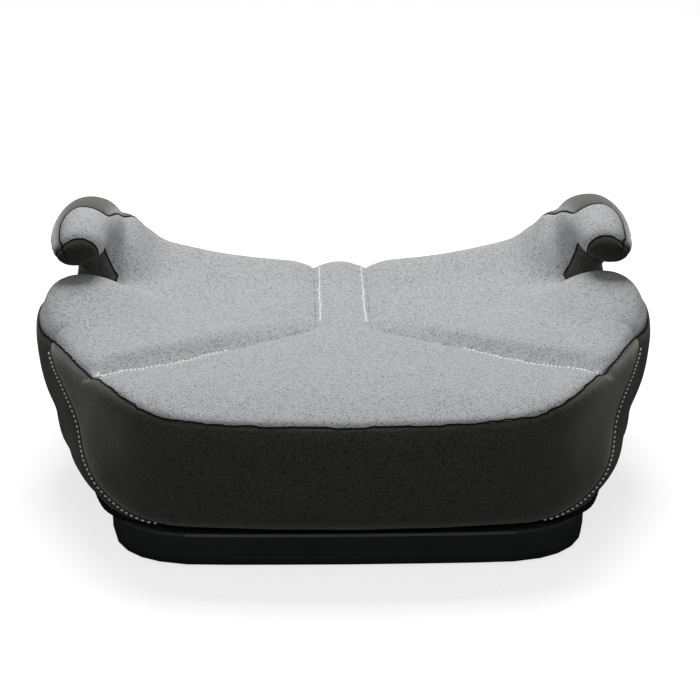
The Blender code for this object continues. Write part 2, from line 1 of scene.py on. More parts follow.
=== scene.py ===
"""Backless child booster seat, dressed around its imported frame.

The sewn cover is drafted the way a trim maker would: one smooth form is lofted and blended, seam lines
are laid on it, the form is cut into panels along them, and every panel is rolled into its seams and given
its thickness.
Positions in the drafting tables are in drawing millimetres, the front of the seat faces -Y and +Z is up.
"""

import logging
import math
from dataclasses import dataclass, field, replace
from enum import Enum

import bmesh
import bpy
import numpy as np
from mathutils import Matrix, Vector
from mathutils.bvhtree import BVHTree
from mathutils.kdtree import KDTree
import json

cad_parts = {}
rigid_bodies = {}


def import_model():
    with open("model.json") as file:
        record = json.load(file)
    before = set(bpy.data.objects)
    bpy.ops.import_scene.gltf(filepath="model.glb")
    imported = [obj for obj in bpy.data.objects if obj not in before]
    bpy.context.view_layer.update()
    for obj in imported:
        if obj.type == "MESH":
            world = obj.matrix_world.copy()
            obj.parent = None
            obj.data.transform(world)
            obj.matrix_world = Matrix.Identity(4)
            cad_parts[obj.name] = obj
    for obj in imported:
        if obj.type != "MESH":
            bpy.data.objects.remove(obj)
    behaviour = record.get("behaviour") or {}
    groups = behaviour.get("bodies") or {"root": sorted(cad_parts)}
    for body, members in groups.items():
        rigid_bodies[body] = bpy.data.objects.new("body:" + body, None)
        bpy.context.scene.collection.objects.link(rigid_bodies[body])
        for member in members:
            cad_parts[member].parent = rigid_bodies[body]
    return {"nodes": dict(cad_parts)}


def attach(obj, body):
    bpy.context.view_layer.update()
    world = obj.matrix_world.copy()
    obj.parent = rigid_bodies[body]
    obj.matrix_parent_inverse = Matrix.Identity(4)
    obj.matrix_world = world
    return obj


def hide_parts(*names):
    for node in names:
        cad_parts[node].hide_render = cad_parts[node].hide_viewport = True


LOG = logging.getLogger("booster")
MM = 0.001
SAMPLE = 0.0012            # distance between the samples of a seam, in metres
WIDEST_EDGE = 0.0085       # longest span across a seam that is still cut, in metres
STEEPEST = 0.2             # least sine between a seam and the form's normal
ON_LINE = 2e-5             # a vertex closer to a seam than this counts as beside it, in metres
Point = tuple[float, float, float]
Colour = tuple[float, float, float]


class Slot(Enum):
    """Material slots of the record."""

    LIGHT = "fabric_light"
    DARK = "fabric_dark"
    ELASTIC = "elastic"
    TRAY = "tray_plastic"
    SHELL = "shell_plastic"
    RUBBER = "rubber"
    STEEL = "steel"


class Node(Enum):
    """Shader node types used by the finishes."""

    NOISE = "ShaderNodeTexNoise"
    CELLS = "ShaderNodeTexVoronoi"
    RAMP = "ShaderNodeValToRGB"
    BUMP = "ShaderNodeBump"
    MATH = "ShaderNodeMath"
    COORD = "ShaderNodeTexCoord"


# ---------------------------------------------------------------- finishes


@dataclass(frozen=True)
class Finish:
    """Base of every finish: builds one node material on first use."""

    name: str

    def build(self) -> bpy.types.Material:
        """Return the material, made once.

        Returns:
            The finished node material.
        """
        found = bpy.data.materials.get(self.name)
        if found:
            return found
        made = bpy.data.materials.new(self.name)
        made.use_nodes = True
        tree = made.node_tree
        shader = tree.nodes["Principled BSDF"]
        self.paint(tree, shader)
        return made

    def paint(self, tree: bpy.types.NodeTree, shader: bpy.types.Node) -> None:
        """Wire the nodes of the finish.

        Args:
            tree: node tree of the material.
            shader: its Principled node.
        """
        raise NotImplementedError

    @staticmethod
    def add(tree: bpy.types.NodeTree, kind: Node, **values: object) -> bpy.types.Node:
        """Add a node and set its inputs or properties.

        Args:
            tree: tree to add to.
            kind: type of node.
            values: property names, or input names with spaces as underscores.

        Returns:
            The new node.
        """
        node = tree.nodes.new(kind.value)
        for key, value in values.items():
            if hasattr(node, key):
                setattr(node, key, value)
            else:
                node.inputs[key.replace("_", " ")].default_value = value
        return node

    def ramp(self, tree: bpy.types.NodeTree, stops: list[tuple[float, Colour]]) -> bpy.types.Node:
        """Colour ramp with the given stops.

        Args:
            tree: tree to add to.
            stops: position and colour pairs.

        Returns:
            The ramp node.
        """
        node = self.add(tree, Node.RAMP)
        ramp = node.color_ramp
        while len(ramp.elements) < len(stops):
            ramp.elements.new(0.5)
        for element, (place, colour) in zip(ramp.elements, stops):
            element.position = place
            element.color = (*colour, 1.0)
        return node


@dataclass(frozen=True)
class Melange(Finish):
    """Knitted melange polyester: two-tone yarn flecks, a fine rib and a soft fuzz."""

    low: Colour = (0.2, 0.2, 0.2)
    mid: Colour = (0.4, 0.4, 0.4)
    high: Colour = (0.6, 0.6, 0.6)
    sheen: float = 0.3
    sheen_tint: Colour = (1.0, 1.0, 1.0)
    fleck: float = 1150.0
    relief: float = 0.25

    def paint(self, tree: bpy.types.NodeTree, shader: bpy.types.Node) -> None:
        """Wire the flecks, the rib and the fuzz.

        Args:
            tree: node tree of the material.
            shader: its Principled node.
        """
        link = tree.links.new
        place = self.add(tree, Node.COORD)
        fleck = self.add(tree, Node.NOISE, Scale=self.fleck, Detail=2.0, Roughness=0.65)
        yarn = self.add(tree, Node.CELLS, Scale=self.fleck * 1.05, Randomness=0.85)
        cloud = self.add(tree, Node.NOISE, Scale=34.0, Detail=3.0, Roughness=0.6)
        blend = self.add(tree, Node.MATH, operation="MULTIPLY_ADD")
        blend.inputs[1].default_value = 0.62
        spread = self.add(tree, Node.MATH, operation="MULTIPLY_ADD")
        spread.inputs[1].default_value = 0.04
        spread.inputs[2].default_value = 0.21
        grey = self.add(tree, Node.MATH, operation="MULTIPLY")
        grey.inputs[1].default_value = 0.30
        ramp = self.ramp(tree, [(0.385, self.low), (0.52, self.mid), (0.66, self.high)])
        separate = tree.nodes.new("ShaderNodeSeparateColor")
        total = self.add(tree, Node.MATH, operation="ADD")
        bump = self.add(tree, Node.BUMP, Strength=self.relief, Distance=0.0004)
        for texture in (fleck, yarn, cloud):
            link(place.outputs["Object"], texture.inputs["Vector"])
        link(yarn.outputs["Color"], separate.inputs["Color"])
        link(separate.outputs["Red"], grey.inputs[0])
        link(cloud.outputs["Fac"], spread.inputs[0])
        link(fleck.outputs["Fac"], blend.inputs[0])
        link(spread.outputs["Value"], blend.inputs[2])
        link(blend.outputs["Value"], total.inputs[0])
        link(grey.outputs["Value"], total.inputs[1])
        link(total.outputs["Value"], ramp.inputs["Fac"])
        link(ramp.outputs["Color"], shader.inputs["Base Color"])
        link(yarn.outputs["Distance"], bump.inputs["Height"])
        link(bump.outputs["Normal"], shader.inputs["Normal"])
        shader.inputs["Roughness"].default_value = 0.92
        shader.inputs["Specular IOR Level"].default_value = 0.22
        shader.inputs["Sheen Weight"].default_value = self.sheen
        shader.inputs["Sheen Roughness"].default_value = 0.45
        shader.inputs["Sheen Tint"].default_value = (*self.sheen_tint, 1.0)


@dataclass(frozen=True)
class Yarn(Finish):
    """Sewing thread or knitted tape with a fine twist, and an optional painted glow from emission."""

    colour: Colour = (0.8, 0.8, 0.8)
    roughness: float = 0.7
    twist: float = 900.0
    # Emission strength: a painted glow that lifts the thread where it would lie in shade.
    painted_glow: float = 0.0

    def paint(self, tree: bpy.types.NodeTree, shader: bpy.types.Node) -> None:
        """Wire the twist of the yarn.

        Args:
            tree: node tree of the material.
            shader: its Principled node.
        """
        link = tree.links.new
        place = self.add(tree, Node.COORD)
        noise = self.add(tree, Node.NOISE, Scale=self.twist, Detail=2.0)
        dark = tuple(0.72 * c for c in self.colour)
        ramp = self.ramp(tree, [(0.30, dark), (0.65, self.colour)])
        bump = self.add(tree, Node.BUMP, Strength=0.35, Distance=0.0003)
        link(place.outputs["Object"], noise.inputs["Vector"])
        link(noise.outputs["Fac"], ramp.inputs["Fac"])
        link(noise.outputs["Fac"], bump.inputs["Height"])
        link(ramp.outputs["Color"], shader.inputs["Base Color"])
        link(bump.outputs["Normal"], shader.inputs["Normal"])
        shader.inputs["Roughness"].default_value = self.roughness
        shader.inputs["Specular IOR Level"].default_value = 0.3
        # Painted glow: the thread emits its own colour, so it reads bright in shade.
        shader.inputs["Emission Color"].default_value = (*self.colour, 1.0)
        shader.inputs["Emission Strength"].default_value = self.painted_glow


@dataclass(frozen=True)
class Moulding(Finish):
    """Injection-moulded polymer or plated metal with fine grain and faint scuffs."""

    colour: Colour = (0.02, 0.02, 0.02)
    roughness: float = 0.4
    metallic: float = 0.0
    grain: float = 2600.0
    relief: float = 0.06
    specular: float = 0.5

    def paint(self, tree: bpy.types.NodeTree, shader: bpy.types.Node) -> None:
        """Wire the grain and the scuffed gloss.

        Args:
            tree: node tree of the material.
            shader: its Principled node.
        """
        link = tree.links.new
        place = self.add(tree, Node.COORD)
        grain = self.add(tree, Node.NOISE, Scale=self.grain, Detail=2.0)
        scuff = self.add(tree, Node.NOISE, Scale=60.0, Detail=5.0, Roughness=0.7)
        gloss = self.add(tree, Node.MATH, operation="MULTIPLY_ADD")
        gloss.inputs[1].default_value = 0.22
        gloss.inputs[2].default_value = self.roughness - 0.11
        tone = self.ramp(tree, [(0.35, tuple(0.8 * c for c in self.colour)), (0.7, self.colour)])
        bump = self.add(tree, Node.BUMP, Strength=self.relief, Distance=0.0002)
        link(place.outputs["Object"], grain.inputs["Vector"])
        link(place.outputs["Object"], scuff.inputs["Vector"])
        link(scuff.outputs["Fac"], gloss.inputs[0])
        link(scuff.outputs["Fac"], tone.inputs["Fac"])
        link(gloss.outputs["Value"], shader.inputs["Roughness"])
        link(tone.outputs["Color"], shader.inputs["Base Color"])
        link(grain.outputs["Fac"], bump.inputs["Height"])
        link(bump.outputs["Normal"], shader.inputs["Normal"])
        shader.inputs["Metallic"].default_value = self.metallic
        shader.inputs["Specular IOR Level"].default_value = self.specular


LIGHT_CLOTH = Melange("light_melange", low=(0.075, 0.077, 0.082), mid=(0.245, 0.252, 0.259),
                      high=(0.66, 0.67, 0.68), sheen=0.08, fleck=1200.0, relief=0.4)
DARK_CLOTH = Melange("dark_melange", low=(0.0010, 0.0010, 0.0008), mid=(0.0150, 0.0153, 0.0120),
                     high=(0.085, 0.086, 0.072), sheen=0.85, sheen_tint=(0.80, 0.82, 0.74), fleck=1200.0,
                     relief=0.4)
# Painted shade: a copy of the dark cloth with less sheen, so the side panels read darker, as if in shade.
SHADED_SIDE_CLOTH = replace(DARK_CLOTH, name="dark_melange_side_shaded", sheen=0.28)
# Painted light: a lit copy of the dark cloth for the armrest tops. Its base colour is brighter and its sheen
# is full, so the top-lit arch reads lighter than the same fabric elsewhere.
LIT_ARM_CLOTH = replace(DARK_CLOTH, name="dark_melange_arm_lit", mid=(0.026, 0.0265, 0.022),
                    high=(0.13, 0.13, 0.115), sheen=1.0, sheen_tint=(1.0, 1.0, 0.96))
# Painted shade: a darker copy of the dark cloth for the front-facing armrest caps, with a darker base colour
# and little sheen.
SHADED_CAP_CLOTH = replace(DARK_CLOTH, name="dark_melange_cap_shaded", mid=(0.0085, 0.0088, 0.0070),
                    high=(0.045, 0.046, 0.038), sheen=0.22)
# Both white threads carry a painted glow. The top-surface copy glows more because its stitches face away
# from the top light and lie in shade.
WHITE_THREAD = Yarn("white_thread", colour=(0.90, 0.90, 0.88), painted_glow=0.10)
GLOWING_TOP_THREAD = replace(WHITE_THREAD, name="white_thread_top_glowing", painted_glow=0.42)
BLACK_THREAD = Yarn("black_thread", colour=(0.003, 0.003, 0.003), roughness=0.9)
ELASTIC_TAPE = Yarn("elastic_tape", colour=(0.008, 0.008, 0.0085), roughness=0.85, twist=700.0)
TRAY_FINISH = Moulding("tray_satin", colour=(0.034, 0.041, 0.042), roughness=0.42)
SHELL_FINISH = Moulding("shell_grey", colour=(0.09, 0.09, 0.095), roughness=0.5)
RUBBER_FINISH = Moulding("foot_rubber", colour=(0.02, 0.02, 0.02), roughness=0.8, grain=1500.0, relief=0.2)
STEEL_FINISH = Moulding("plated_steel", colour=(0.55, 0.55, 0.57), roughness=0.34, metallic=1.0)


# ---------------------------------------------------------------- drafting helpers


def ease(value: np.ndarray | float) -> np.ndarray | float:
    """Smooth step from 0 to 1.

    Args:
        value: number or array.

    Returns:
        The eased value.
    """
    t = np.clip(value, 0.0, 1.0)
    return t * t * (3.0 - 2.0 * t)


def through(points: list[Point] | np.ndarray, count: int, closed: bool = False) -> np.ndarray:
    """Catmull-Rom curve through points, resampled evenly along its length.

    Args:
        points: control points of any dimension.
        count: number of samples.
        closed: joins the last point to the first.

    Returns:
        Array of samples.
    """
    pts = np.asarray(points, float)
    size = len(pts)
    if closed:
        pts = np.vstack([pts[-1:], pts, pts[:2]])
    else:
        pts = np.vstack([2 * pts[:1] - pts[1:2], pts, 2 * pts[-1:] - pts[-2:-1]])
    spans = size if closed else size - 1
    t = np.linspace(0, 1, 24, endpoint=False)[:, None]
    rows = []
    for i in range(spans):
        a, b, c, d = pts[i:i + 4]
        rows.append(0.5 * (2 * b + (c - a) * t + (2 * a - 5 * b + 4 * c - d) * t ** 2
                           + (3 * b - a - 3 * c + d) * t ** 3))
    fine = np.vstack(rows + [pts[1:2] if closed else pts[-2:-1]])
    run = np.concatenate([[0], np.cumsum(np.linalg.norm(np.diff(fine, axis=0), axis=1))])
    goal = np.linspace(0, run[-1], count, endpoint=not closed)
    return np.column_stack([np.interp(goal, run, fine[:, k]) for k in range(fine.shape[1])])


def mirrored(points: list[Point]) -> np.ndarray:
    """Close a half line, given from front centre to rear centre, with its mirror image.

    Args:
        points: half line with its first and last point on the middle plane.

    Returns:
        The closed line's control points.
    """
    half = np.asarray(points, float)
    other = half[1:-1][::-1].copy()
    other[:, 0] *= -1
    return np.vstack([half, other])


def flipped(points: list[Point] | np.ndarray) -> np.ndarray:
    """Mirror image of a line in the middle plane."""
    return np.asarray(points, float) * np.array([-1.0, 1.0, 1.0])


def mesh_object(name: str, verts: np.ndarray, faces: np.ndarray | list) -> bpy.types.Object:
    """New smooth mesh object in the scene.

    Args:
        name: name of the piece.
        verts: vertex positions in metres.
        faces: vertex numbers of each face.

    Returns:
        The object.
    """
    mesh = bpy.data.meshes.new(name)
    mesh.from_pydata([tuple(v) for v in verts], [], [tuple(int(i) for i in f) for f in faces])
    mesh.validate()
    mesh.shade_smooth()
    obj = bpy.data.objects.new(name, mesh)
    bpy.context.collection.objects.link(obj)
    return obj


def select_only(obj: bpy.types.Object) -> None:
    """Make one object the selected and active one."""
    bpy.ops.object.select_all(action="DESELECT")
    obj.select_set(True)
    bpy.context.view_layer.objects.active = obj


def loft(rings: np.ndarray, cap_first: bool = True, cap_last: bool = True) -> tuple[np.ndarray, list]:
    """Closed surface through equal rings.

    Args:
        rings: array of rings, each a closed row of points.
        cap_first: closes the first ring on its middle.
        cap_last: closes the last ring on its middle.

    Returns:
        Vertices and faces.
    """
    count, around = rings.shape[:2]
    verts = rings.reshape(-1, 3)
    faces = []
    for k in range(count - 1):
        for i in range(around):
            j = (i + 1) % around
            faces.append((k * around + i, k * around + j, (k + 1) * around + j, (k + 1) * around + i))
    extra = []
    for use, row, flip in ((cap_first, 0, True), (cap_last, count - 1, False)):
        if not use:
            continue
        middle = len(verts) + len(extra)
        extra.append(rings[row].mean(axis=0))
        for i in range(around):
            a, b = row * around + i, row * around + (i + 1) % around
            faces.append((b, a, middle) if flip else (a, b, middle))
    return np.vstack([verts] + [e[None] for e in extra]), faces


# ---------------------------------------------------------------- the upholstered form


@dataclass
class BodyForm:
    """Padded body of the seat: side wall, rolled rim, thigh wings, belt notch and rear cheeks."""

    around: int = 300
    seat: float = 112.0
    base: float = 28.5
    bulge: float = 6.2
    edge_roll: float = 24.0
    corner_fill: float = 7.5
    flank_tuck: float = 14.5
    panel_puff: float = 4.2
    rim: list[Point] = field(default_factory=lambda: [
        (0, -188, 108.5), (66, -184.5, 109.5), (100, -179, 110.5), (120, -173, 111.5),
        (137.5, -161.5, 114.5), (151.5, -143, 117), (166, -117, 118), (181, -82, 117), (193, -53, 116.5),
        (203.5, -22, 117), (212, 2, 121.5), (216.5, 26, 125.5), (216.5, 50, 125.5), (212.5, 74, 120.5),
        (205.5, 92, 114.5), (201, 108, 110.5), (201, 128, 110), (200, 148, 108), (196, 166, 104),
        (187, 179, 106), (175, 186.5, 124), (163, 188, 140), (149, 188, 138), (134, 188, 132.5),
        (118, 188, 128), (98, 188, 123.5), (70, 188, 119), (30, 188, 115), (0, 188, 114.5)])
    hem: list[tuple[float, float]] = field(default_factory=lambda: [
        (0, -162.5), (67, -159), (100, -156), (131, -151), (151, -142), (163, -127), (170, -106),
        (176, -74), (179, -46), (181, -18), (182, 4), (182.5, 26), (182.5, 50), (182, 74), (181.5, 92),
        (180.5, 110), (180, 130), (176, 150), (170, 163), (160, 171), (150, 174), (140, 175), (130, 176),
        (120, 176), (108, 176), (92, 176), (66, 176), (28, 176), (0, 176)])
    wall: list[Point] = field(default_factory=lambda: [
        (0.0, 0.0, 0.0), (0.24, -0.02, 0.0), (0.50, 0.015, 0.12), (0.70, 0.055, 0.28), (0.83, 0.12, 0.44),
        (0.90, 0.22, 0.56), (0.94, 0.36, 0.68), (0.965, 0.54, 0.80), (0.985, 0.72, 0.92), (1.0, 0.85, 1.0),
        (1.0, 0.94, 0.84), (1.0, 0.985, 0.45), (1.0, 1.0, 0.0)])

    def height(self, x: np.ndarray, y: np.ndarray) -> np.ndarray:
        """Seat surface away from the rim, in drawing millimetres.

        Args:
            x: across, drawing millimetres.
            y: towards the rear, drawing millimetres.

        Returns:
            Height above the floor.
        """
        u = np.abs(x)
        front = (2.5 * np.exp(-((y + 128) / 45) ** 2) - 2.0 * ease((-150 - y) / 40)
                 + 4.5 * ease((u - 96) / 76))
        wing_y = np.where(y < 56, np.exp(-((y - 56) / 66) ** 2), np.exp(-((y - 56) / 25) ** 2))
        wing = 26.0 * ease((u - 116) / 74) * wing_y
        rise = 6.5 * ease((y - 120) / 60) + 15.0 * ease((y - 60) / 120) * np.clip(u / 134, 0, 1) ** 2
        cheek = 25.0 * ease((u - 131) / 34) * ease((y - 96) / 40)
        dish = -2.0 * np.exp(-((y - 30) / 70) ** 2) * np.exp(-(u / 90) ** 2)
        past = (u - 21.5) * 0.68 + (y - 37.5) * 0.735
        puff = self.panel_puff * ease(past / 15) * ease((u - 30) / 70)
        puff = puff * np.exp(-(np.maximum(past - 15, 0) / 55) ** 2)
        return self.seat + front + wing + rise + cheek + dish + puff

    def rings(self) -> np.ndarray:
        """Rings from the hem over the rim to the middle of the seat.

        Returns:
            Array of rings in drawing millimetres.
        """
        rim = mirrored(self.rim)
        hem = mirrored([(x, y, 0.0) for x, y in self.hem])
        both = through(np.hstack([rim, hem[:, :2]]), self.around, closed=True)
        rim_xy, rim_z, hem_xy = both[:, :2], both[:, 2], both[:, 3:5]
        along = np.roll(rim_xy, -1, axis=0) - np.roll(rim_xy, 1, axis=0)
        out = np.stack([along[:, 1], -along[:, 0]], axis=1)
        out /= np.linalg.norm(out, axis=1)[:, None]
        rows = []
        corner = ease((np.abs(rim_xy[:, 0]) - 126) / 40)
        belly = corner * (self.corner_fill - self.flank_tuck * ease((rim_xy[:, 1] + 110) / 110))
        for share, lift, swell in through(self.wall, 34):
            low = math.exp(-((lift - 0.24) / 0.20) ** 2) * ease(lift / 0.10)
            grow = swell * self.bulge + belly * low
            flat = hem_xy + share * (rim_xy - hem_xy) + out * np.reshape(grow, (-1, 1))
            rows.append(np.column_stack([flat, self.base + lift * (rim_z - self.base)]))
        edge = [0.6, 1.8, 3.6, 6, 9, 12.5, 16.5, 21]
        for inset in np.concatenate([edge, 21 + 190 * np.linspace(0.03, 1, 34) ** 1.2]):
            shrink = min(inset / 211.0, 0.985)
            flat = rim_xy * (1 - shrink)
            top = self.height(flat[:, 0], flat[:, 1])
            roll = math.sqrt(max(0.0, 1 - (1 - min(inset / self.edge_roll, 1.0)) ** 2))
            rows.append(np.column_stack([flat, rim_z + (top - rim_z) * roll]))
        return np.array(rows)

    def mesh(self) -> tuple[np.ndarray, list]:
        """Closed body in metres."""
        return loft(self.rings() * MM)


@dataclass
class ArmForm:
    """Armrest with its forward horn; sections run from the root over the crest to the tip."""

    around: int = 48
    steps: int = 60
    squareness: float = 0.84
    droop: float = 11.0
    sections: list[tuple[float, ...]] = field(default_factory=lambda: [
        (106, 95, 188, 100, 165, 189), (105, 112, 189, 114, 164, 189), (104, 121, 189.5, 127, 163, 191),
        (104, 128, 189.5, 140, 162, 199), (104, 135, 187, 153, 162, 208),
        (104, 142, 178, 166, 163, 214.5), (101, 146.5, 160, 175, 165.5, 217),
        (94, 149, 138, 179.5, 168, 217.5), (83, 149.5, 114, 180.5, 170, 216.5),
        (71, 149, 90, 180, 172, 214.5), (59, 148.5, 69, 178.5, 173.5, 212.5),
        (50, 149.5, 53.5, 175, 175.5, 210.5), (44, 152.5, 45, 169, 180, 206)])
    tip: Point = (195, 41.0, 160)

    def mesh(self, mirror: bool) -> tuple[np.ndarray, list]:
        """Closed armrest in metres.

        Args:
            mirror: builds the one on the -X side.

        Returns:
            Vertices and faces.
        """
        table = through(np.array(self.sections, float), self.steps)
        angle = np.linspace(0, 2 * math.pi, self.around, endpoint=False)
        c, s = np.cos(angle), np.sin(angle)
        a = np.sign(c) * np.abs(c) ** self.squareness
        b = np.sign(s) * np.abs(s) ** self.squareness
        rows = []
        for low_y, low_z, high_y, high_z, inner, outer in table:
            middle = np.array([low_y + high_y, low_z + high_z]) / 2
            reach = np.array([high_y - low_y, high_z - low_z]) / 2
            side = middle[None] + b[:, None] * reach[None]
            x = (inner + outer) / 2 + a * (outer - inner) / 2
            ring = np.column_stack([x, side])
            ring[:, 2] -= self.droop * ease((ring[:, 2] - 148) / 26) * np.maximum(x - 188, 0) ** 2 / 900
            rows.append(ring)
        last, tip = rows[-1], np.array(self.tip)
        for share, push in ((0.82, 0.45), (0.55, 0.80), (0.25, 0.96)):
            ring = tip + (last - tip) * share
            ring[:, 1] = last[:, 1] + (tip[1] - last[:, 1]) * push
            rows.append(ring)
        rings = np.array(rows) * MM
        if mirror:
            rings = rings[:, ::-1] * np.array([-1, 1, 1])
        return loft(rings)


@dataclass
class BaseForm:
    """Smooth blend of body and armrests that the panels are cut from."""

    body: BodyForm = field(default_factory=BodyForm)
    arm: ArmForm = field(default_factory=ArmForm)
    voxel: float = 0.0026
    smoothing: int = 7

    def build(self) -> tuple[np.ndarray, np.ndarray, np.ndarray]:
        """Blend the parts and return triangles.

        Returns:
            Vertices, triangles and vertex normals.
        """
        verts, faces = [], []
        for part in (self.body.mesh(), self.arm.mesh(False), self.arm.mesh(True)):
            shift = sum(len(v) for v in verts)
            verts.append(part[0])
            faces.extend(tuple(i + shift for i in f) for f in part[1])
        form = mesh_object("form", np.vstack(verts), faces)
        select_only(form)
        remesh = form.modifiers.new("blend", "REMESH")
        remesh.mode = "VOXEL"
        remesh.voxel_size = self.voxel
        smooth = form.modifiers.new("smooth", "SMOOTH")
        smooth.factor = 0.5
        smooth.iterations = self.smoothing
        for name in ("blend", "smooth"):
            bpy.ops.object.modifier_apply(modifier=name)
        mesh = form.data
        bm = bmesh.new()
        bm.from_mesh(mesh)
        bmesh.ops.triangulate(bm, faces=bm.faces)
        bm.normal_update()
        points = np.array([v.co[:] for v in bm.verts])
        normals = np.array([v.normal[:] for v in bm.verts])
        tris = np.array([[v.index for v in f.verts] for f in bm.faces])
        bm.free()
        bpy.data.objects.remove(form)
        return points, tris, normals


@dataclass
class Seam:
    """Sewn line laid on the form."""

    name: str
    line: np.ndarray
    closed: bool = False
    depth: float = 0.0016
    width: float = 0.0050
    sink: float = 0.0006
    spread: float = 0.014
    pucker: float = 0.0
    fade: float = 0.0
    ready: np.ndarray | None = None

    def hold(self, count: int) -> np.ndarray:
        """How firmly each sample is drawn in; a seam with a fade lets go towards its end.

        Args:
            count: number of samples.

        Returns:
            Share of the full depth, sample by sample.
        """
        if not self.fade:
            return np.ones(count)
        left = np.arange(count)[::-1] * SAMPLE
        return ease((left - 0.004) / self.fade)

    def laid(self, tree: BVHTree, step: float = SAMPLE) -> np.ndarray:
        """Samples of the line, pulled onto the form.

        Args:
            tree: search tree of the form.
            step: distance between samples in metres.

        Returns:
            Points on the form.
        """
        points = through(self.line * MM, 60, self.closed)
        on = np.array([tree.find_nearest(Vector(p))[0][:] for p in points])
        ends = np.vstack([on, on[:1]]) if self.closed else on
        count = int(np.linalg.norm(np.diff(ends, axis=0), axis=1).sum() / step)
        rows = through(self.line * MM, count, self.closed)
        for _ in range(4):
            rows = np.array([tree.find_nearest(Vector(p))[0][:] for p in rows])
            for _ in range(7):
                rows[1:-1] = (rows[:-2] + rows[1:-1] * 2 + rows[2:]) / 4
        return np.array([tree.find_nearest(Vector(p))[0][:] for p in rows])


